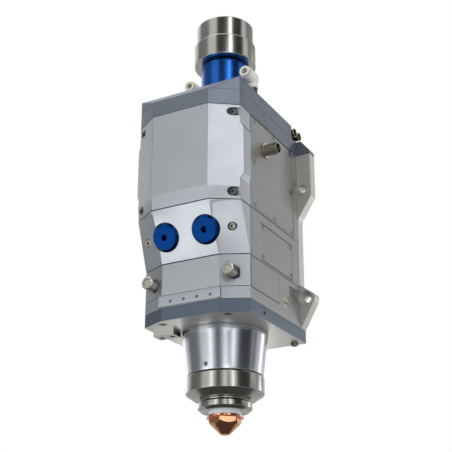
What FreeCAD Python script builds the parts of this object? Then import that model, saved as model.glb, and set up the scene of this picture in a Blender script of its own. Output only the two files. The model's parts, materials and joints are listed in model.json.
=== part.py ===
import FreeCAD, Part
import math
import os
import re
import Sketcher

# Laser cutting head, in millimetres. The origin is the centre of the four
# mounting holes on the rear face, +Z runs up along the beam towards the fibre,
# and -Y is the front. Heights are measured from the waist seam, which lies at
# the height of the origin, and depths from the beam axis.
SIZES = {
    # Outline seen from above, measured from the beam
    "beam_offset": 51.5,
    "half_width": 44.7,
    "flat_half": 24.3,
    "split_depth": 42.6,
    "low_corner_out": 1.6,
    "low_front_out": 11.3,
    "waist_corner_out": 15.0,
    "waist_front_out": 27.7,
    "cover_corner_out": 15.9,
    "cover_front_out": 30.0,
    "seam_gap": 0.5,
    "edge_break": 0.4,
    "run_gap": 0.3,
    # Heights of the stacked sections
    "lens_height": 38.0,
    "window_height": 24.8,
    "band_height": 9.1,
    "base_thick": 10.1,
    "upper_height": 78.2,
    "top_thick": 13.0,
    "cap_thick": 11.8,
    # Rear mounting plate and its wings
    "plate_thick": 8.9,
    "wing_out": 12.3,
    "wing_drop": 40.0,
    "wing_root": 21.0,
    "wing_round": 9.0,
    "lug_top": 36.0,
    "lug_upper": 45.0,
    "lug_lower": 50.0,
    "lug_round": 3.0,
    "bolt_edge": 8.0,
    "bolt_spread_z": 47.0,
    "bolt_hole_r": 2.75,
    "upper_sink_r": 3.9,
    "upper_sink_deep": 1.5,
    "lower_sink_r": 5.4,
    "lower_sink_deep": 5.0,
    "key_groove_r": 6.4,
    "key_groove_long": 21.0,
    "key_notch_long": 7.5,
    # Top plate, cap and their side screws
    "wing_bevel_in": 49.0,
    "wing_bevel_drop": 10.0,
    "cap_back": 34.5,
    "terminal_half": 37.0,
    "beam_bore_r": 14.0,
    "cap_screw_front": 18.3,
    "cap_screw_back": 26.0,
    "cap_screw_low": 8.0,
    "cap_screw_high": 19.8,
    # Upper housing and its covers
    "cover_wall": 4.0,
    "cover_boss_r": 4.4,
    "cover_boss_thick": 3.4,
    "bevel_height": 10.5,
    "bulge_out": 2.2,
    "bulge_low": 17.0,
    "bulge_high": 63.5,
    "bulge_ramp": 4.5,
    "bulge_back": 3.0,
    "side_cover_thick": 3.0,
    "side_cover_back": 33.6,
    "side_screw_front": 35.0,
    "side_screw_mid": 2.0,
    "side_screw_back": 29.3,
    "side_screw_edge": 3.6,
    "cover_screw_in": 5.2,
    "cover_screw_low": 6.0,
    "cover_screw_high": 72.0,
    "pocket_r": 3.5,
    "pocket_depth": 0.4,
    "post_half": 3.4,
    "post_in": 5.5,
    # Socket screws, large and small
    "screw_head_r": 2.9,
    "screw_head_high": 3.0,
    "screw_shank_r": 1.5,
    "screw_long": 6.5,
    "screw_key": 2.6,
    "screw_key_deep": 1.6,
    "small_head_r": 2.1,
    "small_head_high": 1.2,
    "small_shank_r": 1.2,
    "small_long": 3.0,
    "small_key": 1.5,
    "small_key_deep": 0.7,
    # Lower side covers
    "low_cover_front": 25.6,
    "low_cover_back": 28.5,
    "low_cover_top": 7.4,
    "low_cover_sill": 1.7,
    "low_screw_inset": 2.8,
    # Adjusters in the sloping lens section
    "adjuster_spread": 17.0,
    "adjuster_drop": 20.0,
    "adjuster_r": 11.25,
    "adjuster_proud": 2.2,
    "adjuster_chamfer": 1.8,
    "adjuster_seat": 5.0,
    "adjuster_stem_r": 4.0,
    "adjuster_stem_long": 12.0,
    "adjuster_key": 4.4,
    "adjuster_key_deep": 4.0,
    "slope_screw_in": 8.5,
    "slope_screw_drop": 19.0,
    # Window drawer and its thumbscrews
    "cassette_back": 4.0,
    "cassette_thick": 1.5,
    "tray_half": 29.0,
    "tray_high": 12.0,
    "tray_back": 30.0,
    "tray_drop": 14.0,
    "window_r": 15.0,
    "window_thick": 2.0,
    "window_view_r": 12.5,
    "window_seat_deep": 6.0,
    "seal_thick": 1.6,
    "seal_width": 1.8,
    "keeper_thick": 1.8,
    "thumb_in": 10.7,
    "thumb_drop": 14.0,
    "thumb_r": 5.0,
    "thumb_long": 12.0,
    "thumb_web": 6.4,
    "thumb_collar_r": 4.6,
    "thumb_collar_high": 1.6,
    "thumb_stem_r": 2.4,
    "thumb_stem_long": 16.0,
    "thumb_ridge": 0.35,
    "thumb_spot_r": 5.6,
    # Port strip on the band above the base plate
    "strip_half": 26.0,
    "strip_thick": 1.5,
    "strip_high": 8.0,
    "port_r": 1.3,
    "port_pitch": 11.2,
    "port_shift": 1.2,
    "port_rise": 3.6,
    # Base plate underside
    "base_screw_x": 27.5,
    "base_screw_front": 46.2,
    "base_screw_rear_x": 37.0,
    "base_screw_back": 46.0,
    "base_seat_back": 0.8,
    "plug_block_x": 36.2,
    "plug_block_y": 25.5,
    "plug_block_wide": 18.0,
    "plug_block_long": 11.0,
    "plug_block_high": 3.2,
    "grub_r": 1.4,
    "grub_deep": 3.0,
    "grub_back": 22.0,
    # Fibre receiver on top
    "tube_r": 20.0,
    "tube_high": 61.8,
    "tube_chamfer": 2.0,
    "ring_r": 26.0,
    "ring_high": 19.6,
    "sleeve_r": 24.0,
    "sleeve_high": 18.2,
    "sleeve_chamfer": 1.2,
    "spigot_r": 17.0,
    "spigot_deep": 34.0,
    "fibre_bore_r": 12.5,
    "fibre_bore_deep": 45.0,
    "fit_gap": 0.08,
    # Hose elbows on the cap
    "elbow_right_x": 41.3,
    "elbow_left_x": 8.7,
    "elbow_mouth": 42.0,
    "elbow_rise": 13.0,
    "elbow_r": 5.0,
    "elbow_long": 12.5,
    "elbow_mouth_r": 3.6,
    "elbow_mouth_deep": 8.0,
    "collet_r": 4.4,
    "collet_bore_r": 2.4,
    "collet_lip": 1.2,
    "collet_travel": 1.2,
    "stud_hex": 6.6,
    "stud_high": 4.0,
    # Coaxial sockets
    "coax_depth": 17.0,
    "coax_rise": 57.0,
    "coax_r": 4.6,
    "coax_flange_r": 6.3,
    "coax_flange": 1.2,
    "coax_long": 11.8,
    "coax_wall": 0.7,
    "coax_lug": 0.9,
    "signal_front": 38.7,
    "signal_pitch": 8.6,
    "signal_rise": 7.2,
    "signal_r": 4.1,
    "signal_long": 9.0,
    # Flush pin socket in the side of the window section
    "pin_socket_back": 15.0,
    "pin_socket_rise": 4.2,
    "pin_socket_r": 5.0,
    "pin_hole_r": 0.9,
    "pin_hole_out": 2.0,
    # Collimator carriage and its drive
    "cavity_half": 34.0,
    "cavity_front": 34.0,
    "cavity_back": 37.5,
    "carriage_half": 33.0,
    "carriage_front": 19.0,
    "carriage_back": 33.0,
    "carriage_thick": 14.0,
    "carriage_rest": 19.0,
    "collimator_r": 14.8,
    "collimator_thick": 5.0,
    "collimator_view_r": 12.8,
    "lens_lip": 3.0,
    "retainer_thick": 3.0,
    "rod_r": 3.0,
    "rod_x": 28.0,
    "spindle_r": 2.5,
    "spindle_back": 26.0,
    "spindle_low": 4.0,
    "spindle_nut_r": 6.0,
    "motor_half": 10.0,
    "motor_low": 48.0,
    "motor_high": 26.0,
    "bearing_r": 7.0,
    "board_half": 30.0,
    "board_low": 8.0,
    "board_high": 70.0,
    "board_thick": 1.6,
    "board_ahead": 5.0,
    "spacer_r": 2.5,
    # Focusing lens and its crossed slides
    "well_half_x": 32.0,
    "well_half_y": 30.0,
    "well_floor": 5.0,
    "slide_x_half": 28.0,
    "slide_x_thick": 8.0,
    "slide_rail": 4.0,
    "slide_rail_high": 10.0,
    "slide_y_half": 25.0,
    "slide_y_thick": 14.0,
    "focus_r": 17.8,
    "focus_thick": 6.0,
    "focus_view_r": 15.5,
    # Nozzle end
    "cone_top_r": 33.0,
    "cone_band": 3.4,
    "cone_under_r": 32.6,
    "cone_low_r": 29.0,
    "cone_high": 33.4,
    "cone_hole_rise": 4.2,
    "cone_hole_r": 1.6,
    "cone_wall_r": 22.0,
    "cone_floor": 6.0,
    "nut_ring_r": 29.75,
    "nut_ring_high": 12.8,
    "nut_ring_chamfer": 4.2,
    "nut_ring_low_r": 23.4,
    "nut_ring_edge": 0.8,
    "insert_r": 17.8,
    "insert_neck_r": 18.6,
    "insert_neck_high": 1.3,
    "insert_flange_r": 21.6,
    "insert_flange_high": 5.0,
    "insert_bore_r": 8.5,
    "insert_drop": 3.6,
    "union_r": 20.5,
    "union_top_r": 19.2,
    "union_bevel": 1.3,
    "union_high": 5.2,
    "union_chamfer": 2.0,
    "union_low_r": 18.0,
    "union_dish": 1.0,
    "ceramic_r": 12.5,
    "ceramic_flange_r": 16.6,
    "ceramic_flange_high": 2.3,
    "ceramic_show": 2.9,
    "nozzle_r": 14.0,
    "nozzle_rim": 1.5,
    "nozzle_step": 0.2,
    "nozzle_barrel": 3.0,
    "nozzle_neck_r": 12.4,
    "nozzle_cone_high": 8.8,
    "nozzle_tip_r": 3.3,
    "nozzle_hole_r": 1.0,
    "nozzle_throat_r": 4.4,
    "nozzle_stud_r": 6.0,
    "nozzle_stud_high": 6.0,
    "nozzle_flats": 22.0,
}

# Sizes that follow from others
DERIVED = {
    "low_corner": "split_depth + low_corner_out",
    "low_front": "split_depth + low_front_out",
    "waist_corner": "split_depth + waist_corner_out",
    "waist_front": "split_depth + waist_front_out",
    "cover_corner": "split_depth + cover_corner_out",
    "cover_front": "split_depth + cover_front_out",
    "wing_half": "half_width + wing_out",
    "bolt_spread_x": "wing_half - bolt_edge",
    "low_cover_bottom": "lens_height - low_cover_sill",
    "cover_screw_x": "half_width - cover_screw_in",
    "slope_screw_x": "half_width - slope_screw_in",
    "thumb_x": "half_width - thumb_in",
    "thumb_base": "split_depth + thumb_web",
}

doc = FreeCAD.newDocument("laser_cutting_head")
sheet = doc.addObject("Spreadsheet::Sheet", "Dims")
for row, (alias, number) in enumerate(SIZES.items(), start=1):
    sheet.set(f"A{row}", alias)
    sheet.set(f"B{row}", str(number))
    sheet.setAlias(f"B{row}", alias)
for row, (alias, text) in enumerate(DERIVED.items(), start=len(SIZES) + 2):
    sheet.set(f"A{row}", alias)
    sheet.set(f"B{row}", "=" + text)
    sheet.setAlias(f"B{row}", alias)
doc.recompute()

pieces = {}

X_AXIS = FreeCAD.Vector(1, 0, 0)
Y_AXIS = FreeCAD.Vector(0, 1, 0)
TO_FRONT = FreeCAD.Rotation(X_AXIS, 90)
TO_RIGHT = FreeCAD.Rotation(Y_AXIS, 90)
TO_LEFT = FreeCAD.Rotation(Y_AXIS, -90)
UPSIDE_DOWN = FreeCAD.Rotation(X_AXIS, 180)

# Places that many pieces share, written in the sheet's names
BEAM_Y = "-beam_offset"
REAR = "beam_offset - plate_thick"
BAND_Z = "-(lens_height + window_height + band_height)"
WINDOW_Z = "-(lens_height + window_height)"
UNDER_Z = "-(lens_height + window_height + band_height + base_thick)"
TOP_Z = "upper_height"
CAP_Z = "upper_height + top_thick"
ROOF_Z = "upper_height + top_thick + cap_thick"
KNURL_TEETH = 24
NOZZLE_TURN = -19


def formula(text):
    """Puts the sheet's name before each of its words."""
    return re.sub(r"\b([a-z]+(?:_[a-z0-9]+)+)\b", r"Dims.\1", text)


def size(alias):
    return float(getattr(sheet, alias))


def bind(thing, **sizes):
    for name, text in sizes.items():
        thing.setExpression(name, formula(text))


def place(thing, x, y, z, turn=None):
    if turn is not None:
        thing.Placement = FreeCAD.Placement(FreeCAD.Vector(), turn)
    for axis, text in (("x", x), ("y", y), ("z", z)):
        thing.setExpression(f"Placement.Base.{axis}", formula(text))


def piece(label, thing):
    thing.Label = label
    pieces[label] = thing
    return thing


def new_body(label, x="0", y=BEAM_Y, z="0", turn=None):
    body = doc.addObject("PartDesign::Body", label)
    place(body, x, y, z, turn)
    return body


def sketch_on(body, role, lift="0"):
    """A sketch on the body's XY, XZ or YZ plane, moved along the plane's normal."""
    sketch = body.newObject("Sketcher::SketchObject", "Sketch")
    plane = [item for item in body.Origin.OriginFeatures if item.Role == role + "_Plane"][0]
    sketch.AttachmentSupport = [(plane, "")]
    sketch.MapMode = "FlatFace"
    sketch.setExpression("AttachmentOffset.Base.z", formula(lift))
    return sketch


def outline(sketch, points):
    """A closed outline whose every corner is held by the sheet."""
    first = sketch.GeometryCount
    count = len(points)
    for index in range(count):
        start = math.tau * index / count
        end = math.tau * (index + 1) / count
        sketch.addGeometry(Part.LineSegment(FreeCAD.Vector(math.cos(start), math.sin(start), 0),
                                            FreeCAD.Vector(math.cos(end), math.sin(end), 0)), False)
    for index in range(count):
        here = first + index
        after = first + (index + 1) % count
        sketch.addConstraint(Sketcher.Constraint("Coincident", here, 2, after, 1))
    for index, (x, y) in enumerate(points):
        for kind, text in (("DistanceX", x), ("DistanceY", y)):
            number = sketch.addConstraint(Sketcher.Constraint(kind, -1, 1, first + index, 1, 1.0))
            sketch.setExpression(f"Constraints[{number}]", formula(text))
    return sketch


def circle(sketch, x, y, radius):
    shape = Part.Circle(FreeCAD.Vector(0, 0, 0), FreeCAD.Vector(0, 0, 1), 1.0)
    index = sketch.addGeometry(shape, False)
    number = sketch.addConstraint(Sketcher.Constraint("Radius", index, 1.0))
    sketch.setExpression(f"Constraints[{number}]", formula(radius))
    for kind, text in (("DistanceX", x), ("DistanceY", y)):
        number = sketch.addConstraint(Sketcher.Constraint(kind, -1, 1, index, 3, 1.0))
        sketch.setExpression(f"Constraints[{number}]", formula(text))
    return sketch


def mirrored(points):
    """Right-hand corners, then the same corners on the left in reverse."""
    return list(points) + [(f"-({x})", y) for x, y in reversed(points)]


def hexagon(x, y, across, start=0):
    corners = []
    for index in range(6):
        turn = start + 60 * index
        corners.append((f"{x} + {across} / sqrt(3) * cos({turn} deg)",
                        f"{y} + {across} / sqrt(3) * sin({turn} deg)"))
    return corners


def box_outline(x_low, x_high, y_low, y_high):
    return [(x_low, y_low), (x_high, y_low), (x_high, y_high), (x_low, y_high)]


def head_outline(front, corner, rear):
    """The head's plan: a flat front, two facets, straight sides."""
    return mirrored([("half_width", rear), ("half_width", f"-({corner})"),
                     ("flat_half", f"-({front})")])


def pad(body, sketch, length, back=False):
    feature = body.newObject("PartDesign::Pad", "Pad")
    feature.Profile = sketch
    feature.Reversed = back
    bind(feature, Length=length)
    doc.recompute()
    return feature


def cut(body, sketch, length, back=False):
    """A pocket that has to take something away. It runs against the sketch's normal."""
    before = body.Shape.Volume
    feature = body.newObject("PartDesign::Pocket", "Pocket")
    feature.Profile = sketch
    feature.Reversed = back
    bind(feature, Length=length)
    doc.recompute()
    if not body.Shape.Volume < before:
        raise ValueError(f"a pocket of {body.Label} cuts nothing")
    return feature


def revolve(body, points):
    sketch = outline(sketch_on(body, "XZ"), points)
    feature = body.newObject("PartDesign::Revolution", "Turned")
    feature.Profile = sketch
    feature.ReferenceAxis = (sketch, ["V_Axis"])
    feature.Angle = 360
    doc.recompute()
    return feature


def loft(body, low, high, low_z, high_z):
    first = outline(sketch_on(body, "XY", low_z), low)
    second = outline(sketch_on(body, "XY", high_z), high)
    feature = body.newObject("PartDesign::AdditiveLoft", "Loft")
    feature.Profile = first
    feature.Sections = [second]
    feature.Ruled = True
    doc.recompute()
    return feature


def edge_names(shape, test):
    return [f"Edge{index}" for index, edge in enumerate(shape.Edges, start=1) if test(edge)]


def dress(body, kind, test, amount):
    """Fillets or chamfers the edges that pass the test."""
    base = body.Tip
    feature = body.newObject(f"PartDesign::{kind}", kind)
    feature.Base = (base, edge_names(base.Shape, test))
    if kind == "Fillet":
        bind(feature, Radius=amount)
    else:
        bind(feature, Size=amount)
    doc.recompute()
    return feature


def turned(label, points, x="0", y=BEAM_Y, z="0", turn=None):
    body = new_body(label, x, y, z, turn)
    revolve(body, points)
    return piece(label, body)


def level_edges(low, high):
    """Straight level edges on the outside of a block, at its top and bottom."""
    def test(edge):
        box = edge.BoundBox
        level = box.ZLength < 1e-6 and (abs(box.ZMin - low) < 1e-6 or abs(box.ZMax - high) < 1e-6)
        outside = max(abs(box.XMin), abs(box.XMax)) > size("flat_half") - 1e-6
        return level and outside and edge.Curve.TypeId == "Part::GeomLine"
    return test


# Screws

def screw_master(name, head_r, head_high, shank_r, length, key, key_deep):
    """One socket screw with its seat at the origin and its head along +Z."""
    body = new_body(name, y="0")
    revolve(body, [("0", f"-{length}"), (shank_r, f"-{length}"), (shank_r, "0"), (head_r, "0"),
                   (head_r, f"{head_high} - edge_break"), (f"{head_r} - edge_break", head_high),
                   ("0", head_high)])
    cut(body, outline(sketch_on(body, "XY", head_high), hexagon("0", "0", key)), key_deep)
    return body


def screw_group(label, master, spots):
    links = []
    for x, y, z, turn in spots:
        link = doc.addObject("App::Link", label + "_one")
        link.LinkedObject = master
        link.LinkTransform = False
        place(link, x, y, z, turn)
        links.append(link)
    group = doc.addObject("Part::Compound", label)
    group.Links = links
    return piece(label, group)


# Rear plate, top plate and cap

def make_rear_plate():
    body = new_body("rear_plate", y="0")
    right = [("half_width", BAND_Z), ("wing_half", "-lug_lower"), ("wing_half", "-lug_upper"),
             ("half_width", "-lug_top"), ("half_width", "wing_root"),
             ("wing_half", "wing_drop"), ("wing_half", TOP_Z)]
    pad(body, outline(sketch_on(body, "XZ"), mirrored(right)), "plate_thick")

    def upright_at(x, z):
        def test(edge):
            box = edge.BoundBox
            return (box.YLength > size("plate_thick") - 1e-6
                    and abs(abs(box.XMin) - size(x)) < 1e-6 and abs(box.ZMin - z) < 1e-6)
        return test

    dress(body, "Fillet", upright_at("wing_half", size("wing_drop")), "wing_round")
    dress(body, "Fillet", upright_at("half_width", size("wing_root")), "wing_round")
    dress(body, "Fillet", upright_at("wing_half", -size("lug_upper")), "lug_round")
    dress(body, "Fillet", upright_at("wing_half", -size("lug_lower")), "lug_round")
    holes = sketch_on(body, "XZ")
    for side in ("", "-"):
        for level in ("", "-"):
            circle(holes, f"{side}bolt_spread_x", f"{level}bolt_spread_z", "bolt_hole_r")
    cut(body, holes, "plate_thick", back=True)
    for level, radius, deep in (("", "upper_sink_r", "upper_sink_deep"),
                                ("-", "lower_sink_r", "lower_sink_deep")):
        sinks = sketch_on(body, "XZ", "plate_thick")
        for side in ("", "-"):
            circle(sinks, f"{side}bolt_spread_x", f"{level}bolt_spread_z", radius)
        cut(body, sinks, deep)
    return piece("rear_plate", body)


def make_top_plate():
    body = new_body("top_plate", z=TOP_Z)
    plan = mirrored([("wing_half", "beam_offset"), ("wing_half", REAR), ("half_width", REAR),
                     ("half_width", "-cover_corner"), ("flat_half", "-cover_front")])
    pad(body, outline(sketch_on(body, "XY"), plan), "top_thick")
    bevel = sketch_on(body, "XZ", "-beam_offset - seam_gap")
    for side in ("", "-"):
        outline(bevel, [(f"{side}(wing_bevel_in)", "top_thick"),
                        (f"{side}(wing_half)", "top_thick - wing_bevel_drop"),
                        (f"{side}(wing_half + seam_gap)", "top_thick - wing_bevel_drop"),
                        (f"{side}(wing_half + seam_gap)", "top_thick + seam_gap"),
                        (f"{side}(wing_bevel_in)", "top_thick + seam_gap")])
    cut(body, bevel, "plate_thick + 2 * seam_gap", back=True)
    cut(body, circle(sketch_on(body, "XY"), "0", "0", "beam_bore_r"), "top_thick", back=True)
    screw_seats(body, cap_screw_spots("cap_screw_low"))
    return piece("top_plate", body)


def make_top_cap():
    body = new_body("top_cap", z=CAP_Z)
    plan = mirrored([("terminal_half", "beam_offset"), ("terminal_half", "cap_back"),
                     ("half_width", "cap_back"), ("half_width", "-cover_corner"),
                     ("flat_half", "-cover_front")])
    pad(body, outline(sketch_on(body, "XY"), plan), "cap_thick")
    slope = outline(sketch_on(body, "YZ", "half_width + seam_gap"),
                    [("-cover_front", "0"), ("-cover_corner", "cap_thick"),
                     ("-cover_corner", "cap_thick + seam_gap"),
                     ("-cover_front - seam_gap", "cap_thick + seam_gap"),
                     ("-cover_front - seam_gap", "0")])
    cut(body, slope, "2 * (half_width + seam_gap)")
    cut(body, circle(sketch_on(body, "XY"), "0", "0", "tube_r + run_gap"), "cap_thick", back=True)
    screw_seats(body, cap_screw_spots("cap_screw_high - top_thick"))
    return piece("top_cap", body)


# Upper housing and its covers

def side_window(body, front, back, low, high, thick):
    """A shallow seat for a side cover, on both sides."""
    for side in ("", "-"):
        seat = outline(sketch_on(body, "YZ", f"{side}(half_width)"), box_outline(front, back, low, high))
        cut(body, seat, thick, back=side == "-")


def screw_seats(body, spots, sides=("", "-"), heads=True):
    """Holes for small screws in the side faces, with or without a seat for the head."""
    for side in sides:
        if heads:
            seats = sketch_on(body, "YZ", f"{side}(half_width)")
            for y, z in spots:
                circle(seats, y, z, "small_head_r + fit_gap")
            cut(body, seats, "small_head_high", back=side == "-")
        stems = sketch_on(body, "YZ", f"{side}(half_width)")
        for y, z in spots:
            circle(stems, y, z, "small_shank_r + fit_gap")
        cut(body, stems, "small_head_high + small_long + run_gap", back=side == "-")


def key_grooves(body, level, length):
    """Half-round grooves in the sides that let a key reach the mounting screws."""
    grooves = sketch_on(body, "XZ", "plate_thick - beam_offset")
    for side in ("", "-"):
        circle(grooves, f"{side}bolt_spread_x", level, "key_groove_r")
    return cut(body, grooves, length, back=True)


def make_upper_housing():
    body = new_body("upper_housing")
    plan = box_outline("-half_width", "half_width", "-split_depth + seam_gap", REAR)
    pad(body, outline(sketch_on(body, "XY"), plan), "upper_height")
    room = box_outline("-cavity_half", "cavity_half", "-cavity_front", "cavity_back")
    cut(body, outline(sketch_on(body, "XY"), room), "upper_height", back=True)
    side_window(body, "-split_depth", "side_cover_back", "seam_gap", "upper_height + seam_gap",
                "side_cover_thick")
    screw_seats(body, side_screw_spots(), heads=False)
    key_grooves(body, "bolt_spread_z", "key_notch_long")
    posts = sketch_on(body, "XZ", "split_depth - seam_gap")
    for side in ("", "-"):
        for level in ("cover_screw_low", "cover_screw_high"):
            outline(posts, [(f"{side}(cover_screw_x - post_in)", f"{level} - post_half"),
                            (f"{side}(half_width - cover_wall - run_gap)", f"{level} - post_half"),
                            (f"{side}(half_width - cover_wall - run_gap)", f"{level} + post_half"),
                            (f"{side}(cover_screw_x - post_in)", f"{level} + post_half")])
    reach = "cover_corner - pocket_depth - cover_boss_thick"
    pad(body, posts, f"{reach} - split_depth + seam_gap")
    holes = sketch_on(body, "XZ", reach)
    cover_screw_circles(holes, "screw_shank_r + fit_gap")
    cut(body, holes, "screw_long - cover_boss_thick + run_gap")
    return piece("upper_housing", body)


def cover_screw_circles(sketch, radius):
    for side in ("", "-"):
        for level in ("cover_screw_low", "cover_screw_high"):
            circle(sketch, f"{side}cover_screw_x", level, radius)


def make_front_cover():
    body = new_body("front_cover")
    low = "seam_gap / 2"
    base = head_outline("waist_front", "waist_corner", "-split_depth")
    full = head_outline("cover_front", "cover_corner", "-split_depth")
    loft(body, base, full, low, "bevel_height")
    pad(body, outline(sketch_on(body, "XY", "bevel_height"), full),
        "upper_height - bevel_height - seam_gap / 2")
    hollow = mirrored([("half_width - cover_wall", "-split_depth + seam_gap"),
                       ("half_width - cover_wall", "-cover_corner + cover_wall"),
                       ("flat_half - cover_wall / 2", "-cover_front + cover_wall")])
    cut(body, outline(sketch_on(body, "XY", low), hollow), "upper_height", back=True)
    floor = "cover_corner - pocket_depth"
    bosses = sketch_on(body, "XZ", f"{floor} - cover_boss_thick")
    cover_screw_circles(bosses, "cover_boss_r")
    pad(body, bosses, "cover_boss_thick")
    bulge = sketch_on(body, "XY", "bulge_low")
    slant = "(cover_front - cover_corner) / (half_width - flat_half)"
    for side in ("", "-"):
        outline(bulge, [(f"{side}(half_width)", "-cover_corner"),
                        (f"{side}(half_width + bulge_out)", f"-cover_corner + bulge_out * {slant}"),
                        (f"{side}(half_width + bulge_out)", "-split_depth - bulge_back"),
                        (f"{side}(half_width)", "-split_depth - bulge_back")])
    pad(body, bulge, "bulge_high - bulge_low")
    ramps = sketch_on(body, "XZ", "split_depth")
    for side in ("", "-"):
        for start, end in (("bulge_low", "bulge_low + bulge_ramp"),
                           ("bulge_high", "bulge_high - bulge_ramp")):
            outline(ramps, [(f"{side}(half_width)", start),
                            (f"{side}(half_width + bulge_out)", end),
                            (f"{side}(half_width + bulge_out + seam_gap)", end),
                            (f"{side}(half_width + bulge_out + seam_gap)", start)])
    cut(body, ramps, "cover_front - split_depth", back=True)
    pockets = sketch_on(body, "XZ", "cover_front")
    for side in ("", "-"):
        for level in ("cover_screw_low", "cover_screw_high"):
            pocket_outline(pockets, side, level)
    cut(body, pockets, f"cover_front - ({floor})")
    holes = sketch_on(body, "XZ", "cover_front")
    cover_screw_circles(holes, "screw_shank_r + fit_gap")
    cut(body, holes, "cover_front - split_depth")
    return piece("front_cover", body)


def pocket_outline(sketch, side, level):
    """An eight-sided end and a straight slot that runs out through the cover's side."""
    reach = "half_width + bulge_out"
    points = [(reach, f"{level} - pocket_r"), (reach, f"{level} + pocket_r")]
    for turn in (90, 120, 150, 180, 210, 240, 270):
        points.append((f"cover_screw_x + pocket_r * cos({turn} deg)",
                       f"{level} + pocket_r * sin({turn} deg)"))
    outline(sketch, [(f"{side}({x})", y) for x, y in points])


def make_side_covers():
    for label, side in (("side_cover_right", ""), ("side_cover_left", "-")):
        body = new_body(label)
        lift = f"{side}(half_width - side_cover_thick)"
        plan = box_outline("-split_depth + seam_gap", "side_cover_back - seam_gap",
                           "2 * seam_gap", "upper_height - seam_gap / 2")
        pad(body, outline(sketch_on(body, "YZ", lift), plan), "side_cover_thick", back=side == "-")
        dress(body, "Chamfer", outer_rim(), "edge_break * 2")
        if side == "":
            port = circle(sketch_on(body, "YZ", "half_width"), "-coax_depth", "coax_rise",
                          "coax_r + fit_gap")
            cut(body, port, "side_cover_thick")
        screw_seats(body, side_screw_spots(), (side,))
        piece(label, body)


def outer_rim():
    """Edges that lie flat in the outer side face."""
    def test(edge):
        box = edge.BoundBox
        return box.XLength < 1e-6 and abs(abs(box.XMin) - size("half_width")) < 1e-6
    return test


def side_screw_spots():
    low = "side_screw_edge + seam_gap"
    high = "upper_height - side_screw_edge"
    spots = []
    for depth in ("-side_screw_front", "-side_screw_mid", "side_screw_back"):
        spots.append((depth, low))
        spots.append((depth, high))
    spots.append(("-side_screw_front", "upper_height / 2"))
    spots.append(("side_screw_back", "upper_height / 2"))
    return spots


def low_screw_spots():
    spots = []
    for depth in ("-low_cover_front + low_screw_inset", "low_cover_back - low_screw_inset"):
        for level in ("-low_cover_top - low_screw_inset", "-low_cover_bottom + low_screw_inset"):
            spots.append((depth, level))
    return spots


def cap_screw_spots(level):
    """Two on each side of the top plate and of the cap above it."""
    return [("-cap_screw_front", level), ("cap_screw_back", level)]


# Lens section

def slope_y(drop):
    """Depth of the sloping front at a distance under the waist."""
    return f"-(waist_front - (waist_front - low_front) * ({drop}) / lens_height)"


def facet_y(x, drop):
    """Depth of the sloping facets at a distance from the middle and under the waist."""
    top = f"(waist_front - (waist_front - waist_corner) * ({x} - flat_half) / (half_width - flat_half))"
    low = f"(low_front - (low_front - low_corner) * ({x} - flat_half) / (half_width - flat_half))"
    return f"-({top} - ({top} - {low}) * ({drop}) / lens_height)"


def slope_turn():
    lean = math.atan2(size("waist_front") - size("low_front"), size("lens_height"))
    return FreeCAD.Rotation(X_AXIS, 90 + math.degrees(lean))


def adjuster_place(thing, side):
    place(thing, f"{side}adjuster_spread", f"{BEAM_Y} + {slope_y('adjuster_drop')}",
          "-adjuster_drop", slope_turn())


def make_lens_front():
    block = new_body("lens_front_block")
    low = head_outline("low_front", "low_corner", "-split_depth")
    high = head_outline("waist_front", "waist_corner", "-split_depth")
    loft(block, low, high, "-lens_height + seam_gap / 2", "-seam_gap / 2")
    bores = []
    for side in ("", "-"):
        seat = doc.addObject("PartDesign::Body", "seat_bore")
        reach = "adjuster_seat + run_gap"
        stem = "adjuster_seat + adjuster_stem_long + 2 * run_gap"
        adjuster_place(seat, side)
        revolve(seat, [("0", f"-({stem})"), ("adjuster_stem_r + fit_gap", f"-({stem})"),
                       ("adjuster_stem_r + fit_gap", f"-({reach})"),
                       ("adjuster_r + fit_gap", f"-({reach})"),
                       ("adjuster_r + fit_gap", "adjuster_r"), ("0", "adjuster_r")])
        bores.append(seat)
    for side in ("", "-"):
        sink = doc.addObject("PartDesign::Body", "screw_bore")
        place(sink, f"{side}slope_screw_x", f"{BEAM_Y} + {facet_y('slope_screw_x', 'slope_screw_drop')}",
              "-slope_screw_drop", slope_turn())
        revolve(sink, [("0", "-screw_long - screw_head_high"),
                       ("screw_shank_r + fit_gap", "-screw_long - screw_head_high"),
                       ("screw_shank_r + fit_gap", "-screw_head_high"),
                       ("screw_head_r + run_gap", "-screw_head_high"),
                       ("screw_head_r + run_gap", "screw_long"), ("0", "screw_long")])
        bores.append(sink)
    tools = doc.addObject("Part::MultiFuse", "lens_front_bores")
    tools.Shapes = bores
    front = doc.addObject("Part::Cut", "lens_front")
    front.Base = block
    front.Tool = tools
    doc.recompute()
    return piece("lens_front", front)


def make_adjusters():
    for label, side in (("adjuster_right", ""), ("adjuster_left", "-")):
        body = new_body(label)
        adjuster_place(body, side)
        revolve(body, [("0", "-adjuster_seat - adjuster_stem_long"),
                       ("adjuster_stem_r", "-adjuster_seat - adjuster_stem_long"),
                       ("adjuster_stem_r", "-adjuster_seat"), ("adjuster_r", "-adjuster_seat"),
                       ("adjuster_r", "adjuster_proud - adjuster_chamfer"),
                       ("adjuster_r - adjuster_chamfer", "adjuster_proud"),
                       ("0", "adjuster_proud")])
        key = outline(sketch_on(body, "XY", "adjuster_proud"), hexagon("0", "0", "adjuster_key"))
        cut(body, key, "adjuster_key_deep")
        piece(label, body)


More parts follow.
